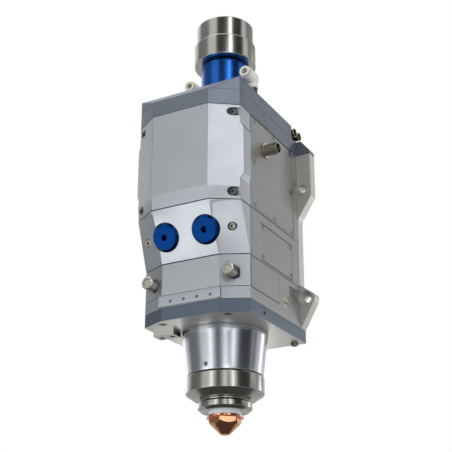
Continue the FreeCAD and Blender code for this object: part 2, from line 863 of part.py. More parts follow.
def make_lens_housing():
    body = new_body("lens_housing")
    plan = box_outline("-half_width", "half_width", "-split_depth + seam_gap", REAR)
    pad(body, outline(sketch_on(body, "XY"), plan), "lens_height", back=True)
    well = box_outline("-well_half_x", "well_half_x", "-well_half_y", "well_half_y")
    cut(body, outline(sketch_on(body, "XY"), well), "lens_height - well_floor")
    cut(body, circle(sketch_on(body, "XY"), "0", "0", "focus_view_r"), "lens_height")
    side_window(body, "-low_cover_front - seam_gap", "low_cover_back + seam_gap",
                "-low_cover_bottom - seam_gap", "-low_cover_top + seam_gap", "side_cover_thick")
    screw_seats(body, low_screw_spots(), heads=False)
    dress(body, "Chamfer", level_edges(-size("lens_height"), 0), "edge_break")
    return piece("lens_housing", body)


def make_low_side_covers():
    for label, side in (("lens_cover_right", ""), ("lens_cover_left", "-")):
        body = new_body(label)
        lift = f"{side}(half_width - side_cover_thick)"
        plan = box_outline("-low_cover_front", "low_cover_back", "-low_cover_bottom", "-low_cover_top")
        pad(body, outline(sketch_on(body, "YZ", lift), plan), "side_cover_thick", back=side == "-")
        dress(body, "Chamfer", outer_rim(), "edge_break")
        screw_seats(body, low_screw_spots(), (side,))
        piece(label, body)


def make_lens_slides():
    """Two crossed slides carry the focusing lens: one along X, one along Y on top of it."""
    floor = "-lens_height + well_floor + fit_gap"
    body = new_body("lens_slide_x", z=floor)
    plan = box_outline("-slide_x_half", "slide_x_half", "-well_half_y + fit_gap",
                       "well_half_y - fit_gap")
    pad(body, outline(sketch_on(body, "XY"), plan), "slide_x_thick")
    rails = sketch_on(body, "XY", "slide_x_thick")
    for side in ("", "-"):
        outline(rails, [(f"{side}(slide_x_half - slide_rail)", "-well_half_y + fit_gap"),
                        (f"{side}(slide_x_half)", "-well_half_y + fit_gap"),
                        (f"{side}(slide_x_half)", "well_half_y - fit_gap"),
                        (f"{side}(slide_x_half - slide_rail)", "well_half_y - fit_gap")])
    pad(body, rails, "slide_rail_high")
    cut(body, circle(sketch_on(body, "XY"), "0", "0", "focus_view_r"), "slide_x_thick", back=True)
    piece("lens_slide_x", body)

    body = new_body("lens_slide_y", z=f"{floor} + slide_x_thick + fit_gap")
    wide = "slide_x_half - slide_rail - fit_gap"
    plan = box_outline(f"-({wide})", wide, "-slide_y_half", "slide_y_half")
    pad(body, outline(sketch_on(body, "XY"), plan), "slide_y_thick")
    cut(body, circle(sketch_on(body, "XY"), "0", "0", "focus_view_r"), "slide_y_thick", back=True)
    seat = circle(sketch_on(body, "XY", "lens_lip"), "0", "0", "focus_r + fit_gap")
    cut(body, seat, "slide_y_thick", back=True)
    piece("lens_slide_y", body)
    seat_z = f"{floor} + slide_x_thick + fit_gap + lens_lip"
    lens("focus_lens", "focus_r", "focus_thick", seat_z)
    turned("focus_lens_ring", ring_outline("focus_view_r", "focus_r", "retainer_thick"),
           z=f"{seat_z} + focus_thick")


def lens(label, radius, thick, z):
    """A lens with a flat lower face and a stepped crown, finished as a dome by its bevel."""
    crown = f"{thick} * 0.25"
    return turned(label, [("0", "0"), (radius, "0"), (radius, f"{thick} - {crown}"),
                          (f"{radius} * 0.87", f"{thick} - {crown}"),
                          (f"{radius} * 0.5", f"{thick} - {crown} / 4"), ("0", thick)], z=z)


def ring_outline(inner, outer, high):
    return [(inner, "0"), (outer, "0"), (outer, high), (inner, high)]


# Collimator carriage and drive

def make_carriage():
    body = new_body("collimator_carriage", z="carriage_rest")
    plan = box_outline("-carriage_half", "carriage_half", "-carriage_front", "carriage_back")
    pad(body, outline(sketch_on(body, "XY"), plan), "carriage_thick")
    holes = sketch_on(body, "XY")
    circle(holes, "0", "0", "collimator_view_r")
    circle(holes, "0", "spindle_back", "spindle_nut_r")
    circle(holes, "rod_x", "0", "rod_r + fit_gap")
    circle(holes, "-rod_x", "0", "rod_r + fit_gap")
    cut(body, holes, "carriage_thick", back=True)
    seat = circle(sketch_on(body, "XY", "lens_lip"), "0", "0", "collimator_r + fit_gap")
    cut(body, seat, "carriage_thick", back=True)
    piece("collimator_carriage", body)
    lens("collimator_lens", "collimator_r", "collimator_thick", "carriage_rest + lens_lip")
    turned("collimator_ring", ring_outline("collimator_view_r", "collimator_r", "retainer_thick"),
           z="carriage_rest + lens_lip + collimator_thick")
    turned("spindle_nut", ring_outline("spindle_r + fit_gap", "spindle_nut_r", "carriage_thick"),
           y="spindle_back - beam_offset", z="carriage_rest")


def make_drive():
    rods = []
    for side in ("", "-"):
        rod = doc.addObject("Part::Cylinder", "guide_rod")
        bind(rod, Radius="rod_r", Height="upper_height")
        place(rod, f"{side}rod_x", BEAM_Y, "0")
        rods.append(rod)
    group = doc.addObject("Part::Compound", "guide_rods")
    group.Links = rods
    piece("guide_rods", group)
    back = "spindle_back - beam_offset"
    turned("drive_spindle", [("0", "run_gap"), ("spindle_r", "run_gap"),
                             ("spindle_r", "motor_low - run_gap"), ("0", "motor_low - run_gap")], y=back)
    turned("spindle_bearing", ring_outline("spindle_r + fit_gap", "bearing_r", "spindle_low"), y=back)
    motor = new_body("focus_motor", y=back, z="motor_low")
    half = "motor_half"
    pad(motor, outline(sketch_on(motor, "XY"), box_outline(f"-{half}", half, f"-{half}", half)),
        "motor_high")
    dress(motor, "Chamfer", lambda edge: edge.BoundBox.ZLength > size("motor_high") - 1e-6,
          "motor_half / 5")
    piece("focus_motor", motor)
    bracket = new_body("motor_bracket", y=back, z="motor_low + motor_high")
    wall = "cavity_back - spindle_back"
    plan = box_outline("-cavity_half", "cavity_half", f"-{half}", wall)
    pad(bracket, outline(sketch_on(bracket, "XY"), plan), "upper_height - motor_low - motor_high")
    piece("motor_bracket", bracket)


def make_board():
    """Drive electronics in the hollow of the front cover, on four spacers."""
    front = "split_depth - seam_gap"
    body = new_body("drive_board")
    plan = box_outline("-board_half", "board_half", "board_low", "board_high")
    pad(body, outline(sketch_on(body, "XZ", f"{front} + board_ahead"), plan), "board_thick")
    chips = sketch_on(body, "XZ", f"{front} + board_ahead + board_thick")
    for column in (-1, 0, 1):
        for line in (0, 1):
            x = f"{column} * board_half / 2"
            z = f"board_low + (board_high - board_low) * (0.3 + 0.4 * {line})"
            reach = "board_half / 6"
            outline(chips, box_outline(f"{x} - {reach}", f"{x} + {reach}", f"{z} - {reach}",
                                       f"{z} + {reach}"))
    pad(body, chips, "board_thick")
    spacers = sketch_on(body, "XZ", front)
    for side in ("", "-"):
        for level in ("board_low + spacer_r", "board_high - spacer_r"):
            circle(spacers, f"{side}(board_half - spacer_r)", level, "spacer_r")
    pad(body, spacers, "board_ahead")
    piece("drive_board", body)


# Window section

def make_window_block():
    body = new_body("window_block", z=WINDOW_Z)
    plan = box_outline("-half_width", "half_width", "-split_depth + seam_gap", REAR)
    pad(body, outline(sketch_on(body, "XY", "-band_height"), plan), "window_height + band_height")
    middle = "window_height - tray_drop"
    slot = box_outline("-tray_half - run_gap", "tray_half + run_gap",
                       f"{middle} - tray_high / 2 - run_gap", f"{middle} + tray_high / 2 + run_gap")
    cut(body, outline(sketch_on(body, "XZ", "split_depth"), slot), "split_depth + tray_back + run_gap")
    cut(body, circle(sketch_on(body, "XY", "-band_height"), "0", "0", "beam_bore_r"),
        "window_height + band_height", back=True)
    holes = sketch_on(body, "XZ", "split_depth")
    for side in ("", "-"):
        circle(holes, f"{side}thumb_x", "window_height - thumb_drop", "thumb_stem_r + run_gap / 3")
    cut(body, holes, "thumb_stem_long")
    seat = circle(sketch_on(body, "YZ", "half_width"), "pin_socket_back", "pin_socket_rise",
                  "pin_socket_r")
    cut(body, seat, "side_cover_thick")
    side_window(body, "-split_depth", "cassette_back + seam_gap", "0", "window_height - seam_gap",
                "cassette_thick")
    key_grooves(body, "lens_height + window_height - bolt_spread_z", "key_groove_long")
    dress(body, "Chamfer", level_edges(-size("band_height"), size("window_height")), "edge_break")
    piece("window_block", body)
    for label, side in (("slide_guide_right", ""), ("slide_guide_left", "-")):
        guide = new_body(label, z=WINDOW_Z)
        plan = box_outline("-split_depth + seam_gap", "cassette_back", "seam_gap",
                           "window_height - 2 * seam_gap")
        lift = f"{side}(half_width - cassette_thick)"
        pad(guide, outline(sketch_on(guide, "YZ", lift), plan), "cassette_thick", back=side == "-")
        piece(label, guide)


def make_drawer():
    body = new_body("window_drawer", z=WINDOW_Z)
    face = head_outline("low_front", "low_corner", "-split_depth")
    pad(body, outline(sketch_on(body, "XY", "run_gap"), face), "window_height - 2 * run_gap")
    middle = "window_height - tray_drop"
    tray = box_outline("-tray_half", "tray_half", "-split_depth", "tray_back")
    pad(body, outline(sketch_on(body, "XY", f"{middle} - tray_high / 2"), tray), "tray_high")
    top = f"{middle} + tray_high / 2"
    cut(body, circle(sketch_on(body, "XY", top), "0", "0", "window_view_r"), "tray_high")
    cut(body, circle(sketch_on(body, "XY", top), "0", "0", "window_r + fit_gap"), "window_seat_deep")
    spots = sketch_on(body, "XZ", "low_front")
    holes = sketch_on(body, "XZ", "low_front")
    for side in ("", "-"):
        circle(spots, f"{side}thumb_x", "window_height - thumb_drop", "thumb_spot_r")
        circle(holes, f"{side}thumb_x", "window_height - thumb_drop", "thumb_stem_r + run_gap / 3")
    cut(body, spots, "low_front - thumb_base + thumb_collar_high")
    cut(body, holes, "low_front - split_depth + run_gap")
    piece("window_drawer", body)
    seat = f"{WINDOW_Z} + {top} - window_seat_deep"
    turned("window_seal", ring_outline("window_r - seal_width", "window_r", "seal_thick"), z=seat)
    turned("protective_window", [("0", "0"), ("window_r", "0"), ("window_r", "window_thick"),
                                 ("0", "window_thick")], z=f"{seat} + seal_thick")
    turned("window_keeper", ring_outline("window_view_r", "window_r", "keeper_thick"),
           z=f"{seat} + seal_thick + window_thick")


def make_thumbscrews():
    """Knurled captive screws: ridges stand round the head, the stem reaches into the block."""
    for label, side in (("thumbscrew_right", ""), ("thumbscrew_left", "-")):
        body = new_body(label, f"{side}thumb_x", "-beam_offset - thumb_base + thumb_collar_high",
                        "-lens_height - thumb_drop", TO_FRONT)
        core = "thumb_r - thumb_ridge"
        revolve(body, [("0", "-thumb_stem_long"), ("thumb_stem_r", "-thumb_stem_long"),
                       ("thumb_stem_r", "fit_gap"), ("thumb_collar_r", "fit_gap"),
                       ("thumb_collar_r", "thumb_collar_high"), (core, "thumb_collar_high"),
                       (core, "thumb_long - edge_break"), (f"{core} - edge_break", "thumb_long"),
                       ("0", "thumb_long")])
        teeth = sketch_on(body, "XY", "thumb_collar_high + edge_break")
        outline(teeth, star("thumb_r - 2 * thumb_ridge", "thumb_r", KNURL_TEETH))
        pad(body, teeth, "thumb_long - thumb_collar_high - 3 * edge_break")
        piece(label, body)




def star(inner, outer, teeth):
    """A toothed ring outline: one point out and one in for each tooth."""
    corners = []
    for index in range(2 * teeth):
        radius = outer if index % 2 == 0 else inner
        turn = 180.0 * index / teeth
        corners.append((f"({radius}) * cos({turn} deg)", f"({radius}) * sin({turn} deg)"))
    return corners


# Band, port strip and base plate

def make_base():
    body = new_body("band_front", z=BAND_Z)
    plan = head_outline("low_front", "low_corner", "-split_depth + seam_gap")
    pad(body, outline(sketch_on(body, "XY"), plan), "band_height")
    piece("band_front", body)

    strip = new_body("port_strip", z=BAND_Z)
    centre = "band_height / 2"
    plan = box_outline("-strip_half", "strip_half", f"{centre} - strip_high / 2",
                       f"{centre} + strip_high / 2")
    pad(strip, outline(sketch_on(strip, "XZ", "low_front"), plan), "strip_thick")
    ports = sketch_on(strip, "XZ", "low_front + strip_thick")
    for step in (-1.5, -0.5, 0.5, 1.5):
        circle(ports, f"port_shift + {step} * port_pitch", "port_rise", "port_r")
    cut(strip, ports, "strip_thick")
    piece("port_strip", strip)

    base = new_body("base_plate", z=UNDER_Z)
    plan = head_outline("low_front", "low_corner", "beam_offset")
    pad(base, outline(sketch_on(base, "XY"), plan), "base_thick")
    cut(base, circle(sketch_on(base, "XY"), "0", "0", "beam_bore_r"), "base_thick", back=True)
    grub = circle(sketch_on(base, "YZ", "half_width"), "-grub_back", "base_thick / 2", "grub_r")
    cut(base, grub, "grub_deep")
    for radius, front, back in (("screw_head_r + run_gap", "screw_head_high", "base_seat_back"),
                                ("screw_shank_r + fit_gap", "screw_head_high + screw_long",
                                 "base_seat_back + screw_long")):
        for deep, rear in ((front, False), (back, True)):
            holes = sketch_on(base, "XY")
            for side in ("", "-"):
                x, y = base_screw_spot(side, rear)
                circle(holes, x, y, radius)
            cut(base, holes, deep, back=True)
    piece("base_plate", base)

    block = new_body("plug_block", "-plug_block_x", "-beam_offset - plug_block_y", UNDER_Z)
    plan = box_outline("-plug_block_wide / 2", "plug_block_wide / 2", "-plug_block_long / 2",
                       "plug_block_long / 2")
    pad(block, outline(sketch_on(block, "XY"), plan), "plug_block_high", back=True)
    recess = sketch_on(block, "XY", "-plug_block_high")
    for step in ("-", ""):
        circle(recess, f"{step}plug_block_wide / 4", "0", "small_head_r")
    cut(block, recess, "small_head_high", back=True)
    piece("plug_block", block)


def base_screw_spot(side, rear):
    if rear:
        return f"{side}base_screw_rear_x", "base_screw_back"
    return f"{side}base_screw_x", "-base_screw_front"


# Fibre receiver

def make_receiver():
    turned("collimator_tube", [("beam_bore_r", "0"), ("tube_r", "0"),
                               ("tube_r", "tube_high - tube_chamfer"),
                               ("tube_r - tube_chamfer", "tube_high"),
                               ("spigot_r + fit_gap", "tube_high"),
                               ("spigot_r + fit_gap", "tube_high + ring_high - spigot_deep - run_gap"),
                               ("beam_bore_r", "tube_high + ring_high - spigot_deep - run_gap")], z=CAP_Z)
    turned("lock_ring", [("spigot_r + fit_gap", "run_gap"), ("ring_r - edge_break", "run_gap"),
                         ("ring_r", "run_gap + edge_break"), ("ring_r", "ring_high - sleeve_chamfer"),
                         ("ring_r - sleeve_chamfer", "ring_high"),
                         ("spigot_r + fit_gap", "ring_high")], z=f"{CAP_Z} + tube_high")
    low = "ring_high - spigot_deep"
    roof = "ring_high + run_gap + sleeve_high"
    turned("fibre_receiver", [("beam_bore_r - 2", low), ("spigot_r", low),
                              ("spigot_r", "ring_high + run_gap"), ("sleeve_r", "ring_high + run_gap"),
                              ("sleeve_r", f"{roof} - sleeve_chamfer"),
                              ("sleeve_r - sleeve_chamfer", roof), ("fibre_bore_r + 0.8", roof),
                              ("fibre_bore_r", f"{roof} - 0.8"),
                              ("fibre_bore_r", f"{roof} - fibre_bore_deep"),
                              ("beam_bore_r - 2", f"{roof} - fibre_bore_deep")],
           z=f"{CAP_Z} + tube_high")


# Hose elbows

def make_elbows():
    studs = []
    for side, x in (("right", "elbow_right_x"), ("left", "-elbow_left_x")):
        height = f"{ROOF_Z} + elbow_rise"
        leg = "-elbow_mouth + elbow_long - beam_offset"
        stud = new_body("elbow_stud", x, leg, ROOF_Z)
        pad(stud, outline(sketch_on(stud, "XY"), hexagon("0", "0", "stud_hex")), "stud_high")
        pad(stud, circle(sketch_on(stud, "XY", "stud_high"), "0", "0", "stud_hex / 3"), "run_gap * 8")
        studs.append(stud)

        barrel = new_body(f"elbow_{side}", x, leg, height, TO_FRONT)
        revolve(barrel, [("0", "-elbow_r * 0.75"), ("elbow_r * 0.66", "-elbow_r * 0.75"),
                         ("elbow_r", "0"), ("elbow_r", "elbow_long - edge_break"),
                         ("elbow_r - edge_break", "elbow_long"), ("elbow_mouth_r + fit_gap * 12", "elbow_long"),
                         ("elbow_mouth_r + fit_gap * 12", "elbow_long - elbow_mouth_deep"),
                         ("collet_bore_r", "elbow_long - elbow_mouth_deep"),
                         ("collet_bore_r", "0"), ("0", "0")])
        drop = "elbow_rise - stud_high - run_gap"
        foot = circle(sketch_on(barrel, "XZ"), "0", "0", "elbow_r * 0.8")
        pad(barrel, foot, drop)
        socket = circle(sketch_on(barrel, "XZ", drop), "0", "0", "stud_hex / 3 + fit_gap")
        cut(barrel, socket, "run_gap * 9")
        piece(f"elbow_{side}", barrel)

        lip = "collet_travel + run_gap"
        turned(f"release_collet_{side}",
               [("collet_bore_r", "-elbow_mouth_deep + 2 * collet_travel"),
                ("collet_r - collet_lip / 2", "-elbow_mouth_deep + 2 * collet_travel"),
                ("collet_r - collet_lip / 2", lip), ("collet_r", lip),
                ("collet_r", f"{lip} + collet_lip"), ("collet_bore_r", f"{lip} + collet_lip")],
               x=x, y="-elbow_mouth - beam_offset", z=height, turn=TO_FRONT)
    group = doc.addObject("Part::Compound", "elbow_studs")
    group.Links = studs
    piece("elbow_studs", group)


# Coaxial sockets and the pin socket

def coax_outline(radius, flange_r, length, stem):
    bore = f"{radius} - coax_wall"
    pin = f"({radius}) * 0.45"
    return [("0", f"-({stem})"), (bore, f"-({stem})"), (bore, "0"), (flange_r, "0"),
            (flange_r, "coax_flange"), (radius, "coax_flange"), (radius, length), (bore, length),
            (bore, f"{length} * 0.35"), (pin, f"{length} * 0.35"), (pin, f"{length} * 0.8"),
            ("0", f"{length} * 0.8")]


def make_sockets():
    coax = new_body("coax_socket", "half_width", "-beam_offset - coax_depth", "coax_rise", TO_RIGHT)
    revolve(coax, coax_outline("coax_r", "coax_flange_r", "coax_long", "side_cover_thick - seam_gap"))
    lugs = sketch_on(coax, "XZ")
    for side in ("", "-"):
        outline(lugs, [(f"{side}(coax_r - coax_wall / 2)", "coax_long * 0.7"),
                       (f"{side}(coax_r + coax_lug)", "coax_long * 0.7"),
                       (f"{side}(coax_r + coax_lug)", "coax_long * 0.7 + 2 * coax_lug"),
                       (f"{side}(coax_r - coax_wall / 2)", "coax_long * 0.7 + 2 * coax_lug")])
    pad(coax, lugs, "coax_lug")
    piece("coax_socket", coax)
    sockets = []
    for index in (0, 1):
        one = new_body("signal_socket", "terminal_half",
                       f"signal_front + {index} * signal_pitch - beam_offset",
                       f"{CAP_Z} + signal_rise", TO_RIGHT)
        revolve(one, [("0", "0")] + coax_outline("signal_r - edge_break", "signal_r", "signal_long",
                                                 "0")[3:])
        sockets.append(one)
    group = doc.addObject("Part::Compound", "signal_sockets")
    group.Links = sockets
    piece("signal_sockets", group)
    plug = new_body("pin_socket", "half_width - side_cover_thick", "pin_socket_back - beam_offset",
                    f"{WINDOW_Z} + pin_socket_rise", TO_RIGHT)
    revolve(plug, [("0", "0"), ("pin_socket_r - fit_gap", "0"),
                   ("pin_socket_r - fit_gap", "side_cover_thick"), ("0", "side_cover_thick")])
    pins = sketch_on(plug, "XY", "side_cover_thick")
    for side in ("", "-"):
        circle(pins, "0", f"{side}pin_hole_out", "pin_hole_r")
    cut(plug, pins, "side_cover_thick - seam_gap")
    piece("pin_socket", plug)


# Nozzle end

def make_nozzle_end():
    turned("nozzle_cone", [("cone_wall_r - 4", "0"), ("cone_top_r", "0"), ("cone_top_r", "-cone_band"),
                           ("cone_under_r", "-cone_band"), ("cone_low_r", "-cone_high"),
                           ("insert_r + fit_gap", "-cone_high"),
                           ("insert_r + fit_gap", "-cone_high + cone_floor"),
                           ("cone_wall_r", "-cone_high + cone_floor"), ("cone_wall_r", "-cone_floor"),
                           ("cone_wall_r - 4", "-cone_floor")], z=UNDER_Z)
    cone = pieces["nozzle_cone"]
    grub = circle(sketch_on(cone, "XZ", "cone_top_r"), "0", "-cone_high + cone_hole_rise", "cone_hole_r")
    cut(cone, grub, "cone_top_r - cone_low_r + grub_deep")
    ring_top = f"{UNDER_Z} - cone_high - seam_gap"
    ring_low = "-(nut_ring_high + nut_ring_chamfer)"
    turned("clamp_ring", [("insert_r + fit_gap", "0"), ("nut_ring_r - nut_ring_edge", "0"),
                          ("nut_ring_r", "-nut_ring_edge"), ("nut_ring_r", "-nut_ring_high"),
                          ("nut_ring_low_r", ring_low), ("insert_r + fit_gap", ring_low)], z=ring_top)
    insert_low = f"{ring_low} - insert_drop"
    neck_low = f"{ring_low} - insert_neck_high"
    flange = "cone_floor + seam_gap + run_gap"
    turned("sensor_insert", [("insert_bore_r", insert_low), ("insert_r - seam_gap", insert_low),
                             ("insert_r - seam_gap", neck_low), ("insert_neck_r", neck_low),
                             ("insert_neck_r", f"{ring_low} - run_gap"),
                             ("insert_r", f"{ring_low} - run_gap"),
                             ("insert_r", flange), ("insert_flange_r", flange),
                             ("insert_flange_r", f"{flange} + insert_flange_high"),
                             ("insert_bore_r", f"{flange} + insert_flange_high")], z=ring_top)
    union_top = f"{ring_top} + {neck_low} - run_gap"
    wall = "insert_r - seam_gap + fit_gap"
    seat = "insert_drop - insert_neck_high + ceramic_flange_high"
    low = "union_high + union_chamfer"
    turned("union_nut", [(wall, "0"), ("union_top_r", "0"), ("union_r", "-union_bevel"),
                         ("union_r", "-union_high"), ("union_low_r", f"-({low})"),
                         ("union_low_r - union_dish", f"-({low})"),
                         ("ceramic_r + fit_gap", f"-({low}) + union_dish"),
                         ("ceramic_r + fit_gap", f"-({seat}) - fit_gap"),
                         (wall, f"-({seat}) - fit_gap")], z=union_top)
    ceramic_top = f"{ring_top} + {insert_low}"
    drop = f"{low} + ceramic_show - insert_drop + insert_neck_high + run_gap"
    turned("ceramic_body", [("nozzle_stud_r + fit_gap", "0"), ("ceramic_flange_r", "0"),
                            ("ceramic_flange_r", "-ceramic_flange_high + run_gap"),
                            ("ceramic_r", "-ceramic_flange_high + run_gap"), ("ceramic_r", f"-({drop})"),
                            ("nozzle_stud_r + fit_gap", f"-({drop})")], z=ceramic_top)
    make_nozzle(f"{ceramic_top} - ({drop}) - fit_gap")


def make_nozzle(rim_top):
    """The copper tip: a round rim, a cone with six flats, a thin jet hole and a threaded stud."""
    body = new_body("nozzle", z=rim_top)
    barrel = "nozzle_rim + nozzle_step"
    tip = f"-({barrel} + nozzle_barrel + nozzle_cone_high)"
    revolve(body, [("nozzle_hole_r", tip), ("nozzle_tip_r", tip),
                   ("nozzle_neck_r", f"-({barrel} + nozzle_barrel)"), ("nozzle_neck_r", f"-({barrel})"),
                   ("nozzle_r", "-nozzle_rim"),
                   ("nozzle_r", "0"), ("nozzle_stud_r", "0"), ("nozzle_stud_r", "nozzle_stud_high"),
                   ("nozzle_throat_r", "nozzle_stud_high"), ("nozzle_hole_r", f"{tip} + nozzle_rim")])
    flats = sketch_on(body, "XY", tip)
    circle(flats, "0", "0", "nozzle_r + seam_gap")
    outline(flats, hexagon("0", "0", "nozzle_flats", NOZZLE_TURN))
    cut(body, flats, "nozzle_cone_high + nozzle_barrel", back=True)
    return piece("nozzle", body)


def make_screws():
    large = screw_master("socket_screw", "screw_head_r", "screw_head_high", "screw_shank_r",
                         "screw_long", "screw_key", "screw_key_deep")
    small = screw_master("small_screw", "small_head_r", "small_head_high", "small_shank_r",
                         "small_long", "small_key", "small_key_deep")
    spots = []
    for side in ("", "-"):
        for level in ("cover_screw_low", "cover_screw_high"):
            spots.append((f"{side}cover_screw_x", f"{BEAM_Y} - (cover_corner - pocket_depth)", level,
                          TO_FRONT))
    lean = slope_turn()
    out = lean.multVec(FreeCAD.Vector(0, 0, 1))
    for side in ("", "-"):
        depth = f"{BEAM_Y} + {facet_y('slope_screw_x', 'slope_screw_drop')}"
        spots.append((f"{side}slope_screw_x", f"{depth} - screw_head_high * {out.y}",
                      f"-slope_screw_drop - screw_head_high * {out.z}", lean))
    screw_group("cover_screws", large, spots)
    spots = []
    for side in ("", "-"):
        for rear, seat in ((False, "screw_head_high"), (True, "base_seat_back")):
            x, y = base_screw_spot(side, rear)
            spots.append((x, f"{BEAM_Y} + {y}", f"{UNDER_Z} + {seat}", UPSIDE_DOWN))
    screw_group("base_screws", large, spots)
    spots = []
    for side, turn in (("", TO_RIGHT), ("-", TO_LEFT)):
        high = cap_screw_spots(f"{TOP_Z} + cap_screw_low") + cap_screw_spots(f"{TOP_Z} + cap_screw_high")
        for y, z in side_screw_spots() + low_screw_spots() + high:
            spots.append((f"{side}(half_width - small_head_high)", f"{BEAM_Y} + {y}", z, turn))
    screw_group("small_screws", small, spots)


def check_and_write():
    doc.recompute()
    for thing in doc.Objects:
        if "Invalid" in thing.State or "Error" in thing.State:
            raise ValueError(f"{thing.Label} did not recompute: {thing.State}")
    for label, thing in pieces.items():
        if thing.Shape.isNull() or not thing.Shape.isValid() or not thing.Shape.Solids:
            raise ValueError(f"{label} has no sound solid")
    os.makedirs("parts", exist_ok=True)
    for label, thing in pieces.items():
        thing.Shape.exportStep(f"parts/{label}.step")
        box = thing.Shape.BoundBox
        print(f"{label}: {len(thing.Shape.Solids)} solid, {thing.Shape.Volume:.0f} mm3,"
              f" x {box.XMin:.1f} to {box.XMax:.1f}, y {box.YMin:.1f} to {box.YMax:.1f},"
              f" z {box.ZMin:.1f} to {box.ZMax:.1f}")


make_rear_plate()
make_top_plate()
make_top_cap()
make_upper_housing()
make_front_cover()
make_side_covers()
make_lens_front()
make_adjusters()
make_lens_housing()
make_low_side_covers()
make_lens_slides()
make_carriage()
make_drive()
make_board()
make_window_block()
make_drawer()
make_thumbscrews()
make_base()
make_receiver()
make_elbows()
make_sockets()
make_nozzle_end()
make_screws()
check_and_write()
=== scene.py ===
import json
import math

import bmesh
import bpy
from mathutils import Matrix, Vector

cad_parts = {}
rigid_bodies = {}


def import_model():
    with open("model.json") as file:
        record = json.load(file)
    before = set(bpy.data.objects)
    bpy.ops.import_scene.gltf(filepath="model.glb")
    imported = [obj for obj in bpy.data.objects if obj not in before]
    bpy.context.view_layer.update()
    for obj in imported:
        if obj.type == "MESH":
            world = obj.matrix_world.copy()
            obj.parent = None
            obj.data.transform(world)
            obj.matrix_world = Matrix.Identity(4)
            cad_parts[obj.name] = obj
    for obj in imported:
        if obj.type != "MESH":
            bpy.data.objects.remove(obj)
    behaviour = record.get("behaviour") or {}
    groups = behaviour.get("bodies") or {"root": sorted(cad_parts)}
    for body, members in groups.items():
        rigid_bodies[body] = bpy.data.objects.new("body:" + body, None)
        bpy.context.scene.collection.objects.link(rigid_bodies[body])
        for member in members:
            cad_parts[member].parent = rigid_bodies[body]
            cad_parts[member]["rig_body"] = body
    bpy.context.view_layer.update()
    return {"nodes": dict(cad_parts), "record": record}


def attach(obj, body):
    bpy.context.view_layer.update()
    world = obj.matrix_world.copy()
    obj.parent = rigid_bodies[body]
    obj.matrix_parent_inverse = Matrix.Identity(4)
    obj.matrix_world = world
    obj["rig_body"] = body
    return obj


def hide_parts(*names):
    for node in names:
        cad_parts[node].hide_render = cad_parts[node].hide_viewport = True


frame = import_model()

scene = bpy.context.scene
mm = 0.001
beamY = -51.5 * mm  # the beam's axis is upright at x = 0 and this y
print("frame loaded:", len(frame["nodes"]), "nodes")


# Camera, lamps and world

cameraSetup = {
    "place": (0.3634, -0.7194, -0.3051),
    "tiltDeg": 112.4,
    "turnDeg": 28.5,
    "lensMm": 82.04,
    "sensorMm": 36.0,
    "seesFrom": 0.01,
    "seesTo": 20.0,
}


def addCamera(setup):
    data = bpy.data.cameras.new("shotCamera")
    data.lens = setup["lensMm"]
    data.sensor_width = setup["sensorMm"]
    data.clip_start = setup["seesFrom"]
    data.clip_end = setup["seesTo"]
    camera = bpy.data.objects.new("shotCamera", data)
    camera.location = setup["place"]
    camera.rotation_euler = (math.radians(setup["tiltDeg"]), 0.0, math.radians(setup["turnDeg"]))
    scene.collection.objects.link(camera)
    scene.camera = camera


# Lamps stand round the head: azimuth runs from the front towards the right, and up is positive.
# Shine is how bright the lamp's face is, where the white background is 1.
wattsForShine = 4.0  # for each square metre of a lamp whose shine is 1
lamps = {
    "frontLow": {"azimuth": -26.5, "elevation": -18.5, "away": 0.80, "size": (0.42, 0.26), "shine": 1.9},
    "slopeRight": {"azimuth": 33, "elevation": -14.5, "away": 0.85, "size": (0.24, 0.18), "shine": 2.6},
    "coneBack": {"azimuth": 148, "elevation": -1, "away": 0.9, "size": (0.14, 0.20), "shine": 2.6},
    "underBack": {"azimuth": 208.5, "elevation": -19, "away": 0.85, "size": (0.09, 0.10), "shine": 7.0},
    "frontRight": {"azimuth": 39, "elevation": 27.5, "away": 0.78, "size": (0.24, 0.26), "shine": 1.5},
    "coneLeft": {"azimuth": -11, "elevation": 0, "away": 0.85, "size": (0.10, 0.36), "shine": 2.0},
    "coneRight": {"azimuth": 51, "elevation": 0, "away": 0.85, "size": (0.07, 0.30), "shine": 3.0},
    "sleeveStrip": {"azimuth": 49, "elevation": 38, "away": 0.88, "size": (0.09, 0.34), "shine": 3.0},
    "rightBack": {"azimuth": 150, "elevation": 20, "away": 1.1, "size": (0.30, 0.70), "shine": 0.8},
    "leftBack": {"azimuth": -120, "elevation": 15, "away": 1.1, "size": (0.40, 0.70), "shine": 0.8},
    "top": {"azimuth": -40, "elevation": 70, "away": 1.2, "size": (0.70, 0.70), "shine": 1.2},
    "eyeStrip": {"azimuth": 28.5, "elevation": 0, "away": 0.95, "size": (0.014, 0.34), "shine": 5.0},
}


def aroundHead(azimuth, elevation, away):
    a = math.radians(azimuth)
    e = math.radians(elevation)
    return Vector((away * math.cos(e) * math.sin(a),
                   beamY - away * math.cos(e) * math.cos(a),
                   away * math.sin(e)))


def addLamp(name, setup):
    data = bpy.data.lights.new(name, "AREA")
    data.shape = "RECTANGLE"
    data.size, data.size_y = setup["size"]
    data.energy = wattsForShine * setup["shine"] * data.size * data.size_y
    lamp = bpy.data.objects.new(name, data)
    lamp.location = aroundHead(setup["azimuth"], setup["elevation"], setup["away"])
    toHead = Vector((0, beamY, 0)) - lamp.location
    lamp.rotation_euler = toHead.to_track_quat("-Z", "Y").to_euler()
    scene.collection.objects.link(lamp)


def link(tree, start, end):
    tree.links.new(start, end)


